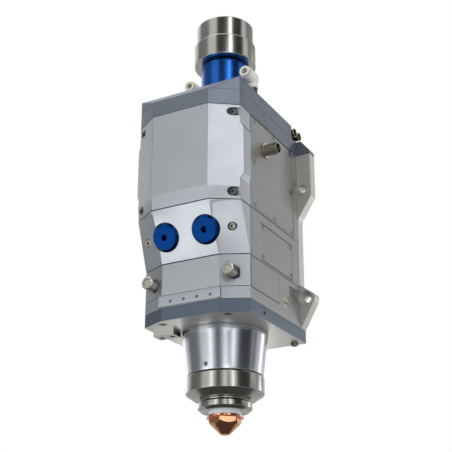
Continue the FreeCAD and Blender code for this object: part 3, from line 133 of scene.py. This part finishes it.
# The world lights at one level, and is shown white to the camera and in shiny or clear surfaces.
def setWorld(ambient, shown):
    world = bpy.data.worlds.new("studio")
    scene.world = world
    world.use_nodes = True
    tree = world.node_tree
    tree.nodes.clear()
    out = tree.nodes.new("ShaderNodeOutputWorld")
    mix = tree.nodes.new("ShaderNodeMixShader")
    soft = tree.nodes.new("ShaderNodeBackground")
    white = tree.nodes.new("ShaderNodeBackground")
    path = tree.nodes.new("ShaderNodeLightPath")
    seen = tree.nodes.new("ShaderNodeMath")
    seenAll = tree.nodes.new("ShaderNodeMath")
    seen.operation = "MAXIMUM"
    seenAll.operation = "MAXIMUM"
    soft.inputs["Color"].default_value = (0.98, 0.99, 1.0, 1)
    soft.inputs["Strength"].default_value = ambient
    white.inputs["Color"].default_value = (1, 1, 1, 1)
    white.inputs["Strength"].default_value = shown
    link(tree, path.outputs["Is Camera Ray"], seen.inputs[0])
    link(tree, path.outputs["Is Glossy Ray"], seen.inputs[1])
    link(tree, seen.outputs[0], seenAll.inputs[0])
    link(tree, path.outputs["Is Transmission Ray"], seenAll.inputs[1])
    link(tree, seenAll.outputs[0], mix.inputs[0])
    link(tree, soft.outputs[0], mix.inputs[1])
    link(tree, white.outputs[0], mix.inputs[2])
    link(tree, mix.outputs[0], out.inputs["Surface"])


addCamera(cameraSetup)
for lampName, lampSetup in lamps.items():
    addLamp(lampName, lampSetup)
setWorld(ambient=0.70, shown=1.0)
scene.view_settings.view_transform = "Standard"
print("camera and lamps set:", len(lamps), "lamps")


# Materials

def newMaterial(name):
    material = bpy.data.materials.new(name)
    material.use_nodes = True
    return material, material.node_tree, material.node_tree.nodes["Principled BSDF"]


def objectPoint(tree, scale=(1, 1, 1), turn=(0, 0, 0), shift=(0, 0, 0)):
    place = tree.nodes.new("ShaderNodeTexCoord")
    mapping = tree.nodes.new("ShaderNodeMapping")
    mapping.inputs["Scale"].default_value = scale
    mapping.inputs["Rotation"].default_value = turn
    mapping.inputs["Location"].default_value = shift
    link(tree, place.outputs["Object"], mapping.inputs["Vector"])
    return mapping.outputs["Vector"]


def noise(tree, vector, scale, detail=4.0, rough=0.55):
    node = tree.nodes.new("ShaderNodeTexNoise")
    node.inputs["Scale"].default_value = scale
    node.inputs["Detail"].default_value = detail
    node.inputs["Roughness"].default_value = rough
    link(tree, vector, node.inputs["Vector"])
    return node.outputs["Fac"]


def ramp(tree, value, stops):
    node = tree.nodes.new("ShaderNodeValToRGB")
    points = node.color_ramp.elements
    while len(points) < len(stops):
        points.new(0.5)
    for point, (place, colour) in zip(points, stops):
        point.position = place
        point.color = (*colour, 1)
    link(tree, value, node.inputs["Fac"])
    return node.outputs["Color"]


def spread(tree, value, low, high, fromLow=0.3, fromHigh=0.7):
    node = tree.nodes.new("ShaderNodeMapRange")
    node.inputs["From Min"].default_value = fromLow
    node.inputs["From Max"].default_value = fromHigh
    node.inputs["To Min"].default_value = low
    node.inputs["To Max"].default_value = high
    link(tree, value, node.inputs["Value"])
    return node.outputs["Result"]


def bump(tree, height, strength, distance, before=None):
    node = tree.nodes.new("ShaderNodeBump")
    node.inputs["Strength"].default_value = strength
    node.inputs["Distance"].default_value = distance
    link(tree, height, node.inputs["Height"])
    if before is not None:
        link(tree, before, node.inputs["Normal"])
    return node.outputs["Normal"]


def addUp(tree, first, second, operation="ADD"):
    node = tree.nodes.new("ShaderNodeMath")
    node.operation = operation
    for index, value in enumerate((first, second)):
        if isinstance(value, (int, float)):
            node.inputs[index].default_value = value
        else:
            link(tree, value, node.inputs[index])
    return node.outputs[0]


def shade(colour, factor):
    return tuple(min(1.0, channel * factor) for channel in colour)


# Anodised or bead-blasted aluminium: a fine grain, faint clouds and a slightly uneven sheen
def blastedMetal(name, colour, rough, metal=0.9, grain=1.0, cloud=0.03):
    material, tree, surface = newMaterial(name)
    point = objectPoint(tree)
    clouds = noise(tree, point, 26.0, 3.0)
    fine = noise(tree, point, 1500.0, 2.0, 0.6)
    mottled = addUp(tree, clouds, addUp(tree, fine, 0.22, "MULTIPLY"))
    stops = [(0.30, shade(colour, 1 - cloud)), (0.55, colour), (0.85, shade(colour, 1 + cloud))]
    link(tree, ramp(tree, mottled, stops), surface.inputs["Base Color"])
    link(tree, spread(tree, noise(tree, point, 60.0, 4.0), rough - 0.02, rough + 0.03),
         surface.inputs["Roughness"])
    surface.inputs["Metallic"].default_value = metal
    rubbed = bump(tree, fine, 0.10 * grain, 0.00005)
    link(tree, bump(tree, noise(tree, point, 420.0, 2.0), 0.02 * grain, 0.0001, rubbed),
         surface.inputs["Normal"])
    return material


# Turned on a lathe: fine rings round the beam, and a little colour drift
def turnedMetal(name, colour, rough, metal=1.0, lines=2600.0, depth=0.05, tint=0.05, across=12,
                uneven=0.04):
    material, tree, surface = newMaterial(name)
    rings = noise(tree, objectPoint(tree, (across, across, lines)), 1.0, 3.0, 0.7)
    drift = noise(tree, objectPoint(tree), 45.0, 3.0)
    both = addUp(tree, addUp(tree, rings, 0.5, "MULTIPLY"), addUp(tree, drift, 0.5, "MULTIPLY"))
    stops = [(0.30, shade(colour, 1 - tint)), (0.55, colour), (0.80, shade(colour, 1 + tint))]
    link(tree, ramp(tree, both, stops), surface.inputs["Base Color"])
    link(tree, spread(tree, rings, rough - uneven, rough + uneven), surface.inputs["Roughness"])
    surface.inputs["Metallic"].default_value = metal
    link(tree, bump(tree, rings, depth, 0.00006), surface.inputs["Normal"])
    return material


# Faced on a lathe: rings round the disc's own axis
def facedMetal(name, colour, rough, middle, axis, pitch=0.45):
    material, tree, surface = newMaterial(name)
    turn = Vector(axis).rotation_difference(Vector((0, 0, 1)))
    shift = -(turn @ Vector(middle))
    point = objectPoint(tree, turn=tuple(turn.to_euler()), shift=tuple(shift))
    wave = tree.nodes.new("ShaderNodeTexWave")
    wave.wave_type = "RINGS"
    wave.rings_direction = "Z"
    wave.inputs["Scale"].default_value = 1 / (pitch * mm * math.pi)
    wave.inputs["Distortion"].default_value = 0.6
    wave.inputs["Detail"].default_value = 2.0
    link(tree, point, wave.inputs["Vector"])
    link(tree, ramp(tree, wave.outputs["Fac"], [(0.2, shade(colour, 0.86)), (0.8, shade(colour, 1.12))]),
         surface.inputs["Base Color"])
    link(tree, spread(tree, noise(tree, objectPoint(tree), 180.0), rough - 0.04, rough + 0.06),
         surface.inputs["Roughness"])
    surface.inputs["Metallic"].default_value = 1.0
    link(tree, bump(tree, wave.outputs["Fac"], 0.06, 0.00005), surface.inputs["Normal"])
    return material


def mouldedPlastic(name, colour, rough, mottle=0.04, speck=0.06):
    material, tree, surface = newMaterial(name)
    point = objectPoint(tree)
    drift = noise(tree, point, 90.0, 3.0)
    link(tree, ramp(tree, drift, [(0.3, shade(colour, 1 - mottle)), (0.7, shade(colour, 1 + mottle))]),
         surface.inputs["Base Color"])
    link(tree, spread(tree, noise(tree, point, 260.0), rough - 0.05, rough + 0.05),
         surface.inputs["Roughness"])
    link(tree, bump(tree, noise(tree, point, 900.0, 2.0), speck, 0.00008), surface.inputs["Normal"])
    return material


def clearGlass(name, colour):
    material, tree, surface = newMaterial(name)
    surface.inputs["Transmission Weight"].default_value = 1.0
    surface.inputs["IOR"].default_value = 1.46
    drift = noise(tree, objectPoint(tree), 120.0, 2.0)
    link(tree, ramp(tree, drift, [(0.3, shade(colour, 0.97)), (0.7, colour)]),
         surface.inputs["Base Color"])
    link(tree, spread(tree, drift, 0.01, 0.03), surface.inputs["Roughness"])
    return material


def lacqueredBoard(name):
    material, tree, surface = newMaterial(name)
    point = objectPoint(tree)
    wave = tree.nodes.new("ShaderNodeTexWave")
    wave.inputs["Scale"].default_value = 160.0
    wave.inputs["Distortion"].default_value = 6.0
    link(tree, point, wave.inputs["Vector"])
    link(tree, ramp(tree, wave.outputs["Fac"], [(0.45, (0.02, 0.16, 0.07)), (0.55, (0.04, 0.26, 0.12))]),
         surface.inputs["Base Color"])
    link(tree, spread(tree, noise(tree, point, 200.0), 0.25, 0.4), surface.inputs["Roughness"])
    return material


silverFace = blastedMetal("silverFace", (0.375, 0.395, 0.42), 0.36, metal=0.85)
greyBody = blastedMetal("greyBody", (0.285, 0.283, 0.285), 0.42, metal=0.75)
wingPlate = blastedMetal("wingPlate", (0.56, 0.548, 0.51), 0.42, metal=0.8)
slatePlate = blastedMetal("slatePlate", (0.146, 0.170, 0.206), 0.40, metal=0.75)
deepSlate = blastedMetal("deepSlate", (0.095, 0.123, 0.160), 0.40, metal=0.75)
blueMetal = turnedMetal("blueMetal", (0.022, 0.120, 0.47), 0.28, lines=1400.0, depth=0.02, tint=0.02,
                        across=3, uneven=0.02)
disc = {
    "colour": (0.0018, 0.021, 0.098),
    "out": 17.0,  # mm, as the next two
    "frontY": -115.7,
    "high": -19.8,
    "facing": (0, -0.9175, -0.3977),
}
blueDisc = {}
for side, sign in (("Right", 1), ("Left", -1)):
    middle = (sign * disc["out"] * mm, disc["frontY"] * mm, disc["high"] * mm)
    blueDisc[side] = facedMetal("blueDisc" + side, disc["colour"], 0.27, middle, disc["facing"])
polishedSteel = turnedMetal("polishedSteel", (0.42, 0.415, 0.39), 0.21, depth=0.02, tint=0.02,
                            uneven=0.02)
knurledSteel = turnedMetal("knurledSteel", (0.38, 0.365, 0.33), 0.16, depth=0.02)
ringSteel = turnedMetal("ringSteel", (0.36, 0.355, 0.335), 0.22, depth=0.02, tint=0.02, uneven=0.02)
coneMetal = turnedMetal("coneMetal", (0.40, 0.42, 0.45), 0.25, lines=1800.0, depth=0.008, tint=0.012,
                        across=3, uneven=0.012)
satinSteel = turnedMetal("satinSteel", (0.27, 0.265, 0.25), 0.28)
# Painted shade: a darker steel than the other screws, standing in for the shade in the screw pockets
socketScrewPaintedShade = turnedMetal("socketScrewPaintedShade", (0.14, 0.135, 0.12), 0.20)
# Painted shade: the small screws' steel is darkened to stand in for the shade of the counterbores they
# sit in
screwPaintedShade = turnedMetal("screwPaintedShade", (0.24, 0.235, 0.22), 0.24)
nickelPlate = turnedMetal("nickelPlate", (0.34, 0.31, 0.25), 0.24)
glazedCeramic = mouldedPlastic("glazedCeramic", (0.86, 0.89, 0.93), 0.22)
turnedCopper = turnedMetal("turnedCopper", (0.62, 0.285, 0.16), 0.20, tint=0.12)
whiteFitting = mouldedPlastic("whiteFitting", (0.72, 0.71, 0.67), 0.42)
creamCollet = mouldedPlastic("creamCollet", (0.66, 0.63, 0.52), 0.45)
collarBlue = turnedMetal("collarBlue", (0.006, 0.040, 0.16), 0.3)
bareMetal = blastedMetal("bareMetal", (0.46, 0.45, 0.42), 0.30, metal=0.9)
innerMetal = blastedMetal("innerMetal", (0.55, 0.55, 0.57), 0.4)
groundSteel = turnedMetal("groundSteel", (0.6, 0.6, 0.6), 0.15)
bronze = turnedMetal("bronze", (0.55, 0.38, 0.16), 0.3)
motorPaint = mouldedPlastic("motorPaint", (0.03, 0.03, 0.035), 0.45)
boardGreen = lacqueredBoard("boardGreen")
lensGlass = clearGlass("lensGlass", (0.93, 0.97, 0.98))
sealRubber = mouldedPlastic("sealRubber", (0.02, 0.02, 0.02), 0.7)
print("materials made:", len(bpy.data.materials))

slotFinish = {
    "cover_silver": silverFace,
    "housing_grey": greyBody,
    "plate_grey": slatePlate,
    "blue_anodised": blueMetal,
    "polished_steel": polishedSteel,
    "screw_steel": satinSteel,
    "nickel": nickelPlate,
    "ceramic_white": glazedCeramic,
    "copper": turnedCopper,
    "fitting_white": whiteFitting,
    "collet_cream": creamCollet,
    "inner_aluminium": innerMetal,
    "ground_steel": groundSteel,
    "spindle_bronze": bronze,
    "motor_black": motorPaint,
    "board_green": boardGreen,
    "lens_glass": lensGlass,
    "seal_rubber": sealRubber,
}

# Nodes that differ a little from the rest of their slot
finishOfOne = {
    "rear_plate": wingPlate,
    "nozzle_cone": coneMetal,
    # painted shade: a darkened steel for the shade in their counterbores
    "small_screws": screwPaintedShade,
    "adjuster_right": blueDisc["Right"],
    "adjuster_left": blueDisc["Left"],
    "pin_socket": nickelPlate,
    "base_plate": deepSlate,
    # painted shade: the darker steel stands in for the shade in their pockets
    "cover_screws": socketScrewPaintedShade,
    "clamp_ring": ringSteel,
    "union_nut": ringSteel,
}

nodeSlot = {part["node"]: part["material_slot"] for part in frame["record"]["subparts"]}


def finishOf(nodeName):
    return finishOfOne.get(nodeName, slotFinish[nodeSlot[nodeName]])


for nodeName, node in frame["nodes"].items():
    node.data.materials.clear()
    node.data.materials.append(finishOf(nodeName))


# Floor, and dark or grey cards that only shiny surfaces see

floorSetup = {"level": -0.75, "reach": 40.0, "dark": (0.86, 0.86, 0.86), "pale": (0.88, 0.88, 0.88)}


def addFloor(setup):
    bpy.ops.object.select_all(action="DESELECT")
    bpy.ops.mesh.primitive_plane_add(size=setup["reach"], location=(0, beamY, setup["level"]))
    floor = bpy.context.object
    floor.name = "floor"
    material, tree, surface = newMaterial("paleFloor")
    patches = noise(tree, objectPoint(tree), 3.0)
    link(tree, ramp(tree, patches, [(0.3, setup["dark"]), (0.7, setup["pale"])]),
         surface.inputs["Base Color"])
    surface.inputs["Roughness"].default_value = 0.9
    floor.data.materials.append(material)


cards = {
    "cardFront": {"azimuth": 10, "elevation": 2, "away": 0.9, "size": (0.26, 0.50), "tone": 0.03},
    "cardMid": {"azimuth": 38.5, "elevation": 0, "away": 0.9, "size": (0.13, 0.24), "tone": 0.02},
    "cardRight": {"azimuth": 84, "elevation": 8, "away": 0.9, "size": (0.72, 0.75), "tone": 0.04},
    "cardSide": {"azimuth": 116, "elevation": -1, "away": 0.9, "size": (0.20, 0.16), "tone": 0.03},
    "cardLeft": {"azimuth": -66, "elevation": 18, "away": 0.9, "size": (0.78, 0.95), "tone": 0.30},
    "cardBack": {"azimuth": 150, "elevation": 30, "away": 1.3, "size": (1.10, 1.10), "tone": 0.40},
    "cardTopFront": {"azimuth": 17, "elevation": 39, "away": 0.98, "size": (0.58, 0.44), "tone": 0.01},
    "cardTopRight": {"azimuth": 77, "elevation": 39, "away": 0.98, "size": (0.56, 0.44), "tone": 0.02},
    "cardBelow": {"azimuth": 28.5, "elevation": -90, "away": 0.34, "size": (0.44, 0.44), "tone": 0.10},
}


def addCard(name, setup):
    bpy.ops.object.select_all(action="DESELECT")
    place = aroundHead(setup["azimuth"], setup["elevation"], setup["away"])
    toHead = Vector((0, beamY, 0)) - place
    bpy.ops.mesh.primitive_plane_add(size=1.0, location=place,
                                     rotation=toHead.to_track_quat("-Z", "Y").to_euler())
    card = bpy.context.object
    card.name = name
    card.scale = (*setup["size"], 1)
    card.visible_camera = False
    card.visible_diffuse = False
    card.visible_shadow = False
    card.visible_transmission = False
    material, tree, surface = newMaterial(name)
    tone = setup["tone"]
    patches = noise(tree, objectPoint(tree), 2.0)
    link(tree, ramp(tree, patches, [(0.3, (tone,) * 3), (0.7, (tone * 1.1,) * 3)]),
         surface.inputs["Base Color"])
    surface.inputs["Roughness"].default_value = 1.0
    card.data.materials.append(material)


addFloor(floorSetup)
for cardName, cardSetup in cards.items():
    addCard(cardName, cardSetup)
print("floor and cards placed:", len(cards), "cards")


# Dressed parts: a copy of the solid, its seams merged and its sharp edges broken, as when it is made

dressing = {
    "seam": 0.01,       # mm, how near two points are to count as one
    "bevelSteps": 2,
    "sharpDeg": 25,     # what turns more is an edge to break
    "smoothDeg": 32,
    "crispDeg": 7,      # between broad faces, what turns more stays an edge
    "crispArea": 12,    # square mm that make a face broad
    "flatWeight": 90,
}


def onlySelect(piece):
    bpy.ops.object.select_all(action="DESELECT")
    piece.select_set(True)
    bpy.context.view_layer.objects.active = piece


def applyModifier(piece, kind, **settings):
    onlySelect(piece)
    modifier = piece.modifiers.new(kind.lower(), kind)
    for name, value in settings.items():
        setattr(modifier, name, value)
    bpy.ops.object.modifier_apply(modifier=modifier.name)


# Marks the shallow edges between two broad faces sharp, so that each face stays flat
def keepCrisp(piece):
    leastTurn = math.radians(dressing["crispDeg"])
    leastArea = dressing["crispArea"] * mm * mm
    shape = bmesh.new()
    shape.from_mesh(piece.data)
    for edge in shape.edges:
        if len(edge.link_faces) == 2 and edge.calc_face_angle(0) > leastTurn:
            if min(face.calc_area() for face in edge.link_faces) > leastArea:
                edge.smooth = False
    shape.to_mesh(piece.data)
    shape.free()


def finishPiece(piece, nodeName):
    onlySelect(piece)
    bpy.ops.object.shade_smooth_by_angle(angle=math.radians(dressing["smoothDeg"]))
    keepCrisp(piece)
    applyModifier(piece, "WEIGHTED_NORMAL", mode="FACE_AREA_WITH_ANGLE", keep_sharp=True,
                  weight=dressing["flatWeight"])
    piece.data.materials.clear()
    piece.data.materials.append(finishOf(nodeName))
    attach(piece, frame["nodes"][nodeName]["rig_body"])
    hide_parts(nodeName)


# Chooses the edges to break: the sharp ones that are long enough and lie on a large enough face
def weighEdges(piece, leastLong, leastArea):
    leastTurn = math.radians(dressing["sharpDeg"])
    shape = bmesh.new()
    shape.from_mesh(piece.data)
    weight = shape.edges.layers.float.new("bevel_weight_edge")
    for edge in shape.edges:
        if len(edge.link_faces) == 2 and edge.calc_face_angle(0) > leastTurn:
            largest = max(face.calc_area() for face in edge.link_faces)
            if edge.calc_length() > leastLong * mm and largest > leastArea * mm * mm:
                edge[weight] = 1.0
    shape.to_mesh(piece.data)
    shape.free()


def dressNode(nodeName, edge, leastLong=0.0, leastArea=0.0):
    node = frame["nodes"][nodeName]
    piece = node.copy()
    piece.data = node.data.copy()
    piece.name = nodeName + ".dressed"
    piece.parent = None
    piece.matrix_world = Matrix.Identity(4)
    scene.collection.objects.link(piece)
    onlySelect(piece)
    bpy.ops.mesh.customdata_custom_splitnormals_clear()
    bpy.ops.object.mode_set(mode="EDIT")
    bpy.ops.mesh.select_all(action="SELECT")
    bpy.ops.mesh.remove_doubles(threshold=dressing["seam"] * mm)
    bpy.ops.mesh.select_all(action="DESELECT")
    bpy.ops.object.mode_set(mode="OBJECT")
    weighEdges(piece, leastLong, leastArea)
    applyModifier(piece, "BEVEL", width=edge * mm, segments=dressing["bevelSteps"],
                  limit_method="WEIGHT", use_clamp_overlap=False)
    finishPiece(piece, nodeName)
    return piece


# How far each part's edges are broken, in mm. Milled parts have only their long edges broken.
milledEdges = {
    "front_cover": 0.35, "lens_front": 0.35, "window_drawer": 0.35, "band_front": 0.25,
    "port_strip": 0.15,
    "upper_housing": 0.30, "lens_housing": 0.30, "window_block": 0.30, "rear_plate": 0.40,
    "side_cover_right": 0.25, "side_cover_left": 0.25, "lens_cover_right": 0.25, "lens_cover_left": 0.25,
    "top_plate": 0.35, "top_cap": 0.35, "base_plate": 0.35, "plug_block": 0.20,
}
turnedEdges = {
    "collimator_tube": 0.30, "adjuster_right": 0.20, "adjuster_left": 0.20,
    "nozzle_cone": 0.35, "clamp_ring": 0.30, "union_nut": 0.20, "sensor_insert": 0.20,
    "lock_ring": 0.40, "fibre_receiver": 0.30,
    "cover_screws": 0.12, "base_screws": 0.12, "small_screws": 0.08,
    "coax_socket": 0.12, "signal_sockets": 0.10, "elbow_studs": 0.12, "pin_socket": 0.10,
    "ceramic_body": 0.25, "nozzle": 0.12,
    "elbow_right": 0.45, "elbow_left": 0.45, "release_collet_right": 0.25, "release_collet_left": 0.25,
}
milledLeast = {"leastLong": 2.5, "leastArea": 20}  # mm and square mm
drilled = {"nozzle_cone": 0.9}  # mm, the shortest edge to break, so the cross hole's rim stays as it is
dressed = {}
for nodeName, edge in milledEdges.items():
    dressed[nodeName] = dressNode(nodeName, edge, **milledLeast)
for nodeName, edge in turnedEdges.items():
    dressed[nodeName] = dressNode(nodeName, edge, leastLong=drilled.get(nodeName, 0.0))
print("dressed parts:", len(dressed))


# Gives the faces that look one way a finish of their own
def paintFaces(piece, material, facing, least=0.7):
    piece.data.materials.append(material)
    for face in piece.data.polygons:
        if face.normal.dot(Vector(facing)) > least:
            face.material_index = 1


paintFaces(dressed["base_plate"], bareMetal, (0, 0, -1))

# The low lamp behind lights the bare underside only.
underside = bpy.data.collections.new("underside")
underside.objects.link(dressed["base_plate"])
bpy.data.objects["underBack"].light_linking.receiver_collection = underside


# Captive thumbscrews: a knurled head and a stem, with a dark blue collar between them

thumbscrew = {
    "high": -52.0,  # mm, as all lengths here
    "out": 34.0,
    "frontY": -110.9,
    "headR": 4.65,
    "headLong": 8.6,
    "knurlHigh": 0.42,
    "knurlRound": 30,
    "knurlRows": 9,
    "twistDeg": 4.0,
    "rimWide": 0.5,
    "rimRaised": 0.4,
    "faceWide": 1.3,
    "grooveWide": 0.4,
    "grooveDeep": 0.7,
    "collarR": 4.9,
    "collarLong": 1.6,
    "collarEdge": 0.25,
    "collarRound": 32,
    "stemR": 2.4,
    "stemLong": 17.0,
    "stemEdge": 0.3,
    "stemRound": 24,
    "smoothDeg": 20,
}


# In edit mode, selects what passes the test
def pick(piece, mode, test):
    bpy.ops.mesh.select_mode(type=mode)
    bpy.ops.mesh.select_all(action="DESELECT")
    shape = bmesh.from_edit_mesh(piece.data)
    for element in {"VERT": shape.verts, "EDGE": shape.edges, "FACE": shape.faces}[mode]:
        element.select = bool(test(element))
    if mode == "VERT":
        shape.select_flush(True)
    bmesh.update_edit_mesh(piece.data)


# A cylinder whose axis runs front to back, from its front face at the place
def addTurned(radius, long, place, around):
    bpy.ops.object.select_all(action="DESELECT")
    x, y, z = place
    bpy.ops.mesh.primitive_cylinder_add(vertices=around, radius=radius * mm, depth=long * mm,
                                        location=(x * mm, (y + long / 2) * mm, z * mm),
                                        rotation=(math.pi / 2, 0, 0))
    bpy.ops.object.transform_apply(location=True, rotation=True, scale=True)
    return bpy.context.object


# Splits the side into rows, turns each row a little further, and raises a point on each field
def cutKnurl(head, place, cut):
    x, front, z = place
    pick(head, "EDGE", lambda e: abs(e.verts[0].co.y - e.verts[1].co.y) > 1 * mm)
    bpy.ops.mesh.subdivide(number_cuts=cut["knurlRows"] - 1)
    rowLong = cut["headLong"] / cut["knurlRows"]
    for row in range(1, cut["knurlRows"] + 1):
        level = (front + row * rowLong) * mm
        pick(head, "VERT", lambda v: abs(v.co.y - level) < 0.1 * mm)
        bpy.ops.transform.rotate(value=math.radians(cut["twistDeg"] * row), orient_axis="Y",
                                 center_override=(x * mm, level, z * mm))
    pick(head, "FACE", lambda f: abs(f.normal.y) < 0.5)
    bpy.ops.mesh.poke(offset=cut["knurlHigh"] * mm)


# The end has a rim, a flat ring and a sunk middle
def turnEnd(head, cut):
    pick(head, "FACE", lambda f: f.normal.y < -0.95 and f.calc_area() > 10 * mm * mm)
    bpy.ops.mesh.inset(thickness=cut["rimWide"] * mm)
    bpy.ops.transform.translate(value=(0, -cut["rimRaised"] * mm, 0))
    bpy.ops.mesh.inset(thickness=cut["faceWide"] * mm)
    bpy.ops.mesh.inset(thickness=cut["grooveWide"] * mm)
    bpy.ops.transform.translate(value=(0, cut["grooveDeep"] * mm, 0))


def addLength(name, place, cut, material):
    piece = addTurned(cut[name + "R"], cut[name + "Long"], place, cut[name + "Round"])
    applyModifier(piece, "BEVEL", width=cut[name + "Edge"] * mm, segments=2, limit_method="ANGLE")
    piece.data.materials.append(material)
    return piece


def makeThumbscrew(side, sign, cut):
    x, front, z = sign * cut["out"], cut["frontY"], cut["high"]
    head = addTurned(cut["headR"], cut["headLong"], (x, front, z), cut["knurlRound"])
    bpy.ops.object.mode_set(mode="EDIT")
    cutKnurl(head, (x, front, z), cut)
    turnEnd(head, cut)
    bpy.ops.object.mode_set(mode="OBJECT")
    collarY = front + cut["headLong"]
    collar = addLength("collar", (x, collarY, z), cut, collarBlue)
    stem = addLength("stem", (x, collarY + cut["collarLong"], z), cut, satinSteel)
    head.data.materials.append(knurledSteel)
    onlySelect(head)
    collar.select_set(True)
    stem.select_set(True)
    bpy.ops.object.join()
    head.name = "thumbscrewKnurled" + side
    bpy.ops.object.shade_smooth_by_angle(angle=math.radians(cut["smoothDeg"]))
    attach(head, "thumbscrew_" + side.lower())
    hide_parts("thumbscrew_" + side.lower())


for side, sign in (("Right", 1), ("Left", -1)):
    makeThumbscrew(side, sign, thumbscrew)
print("thumbscrews made")
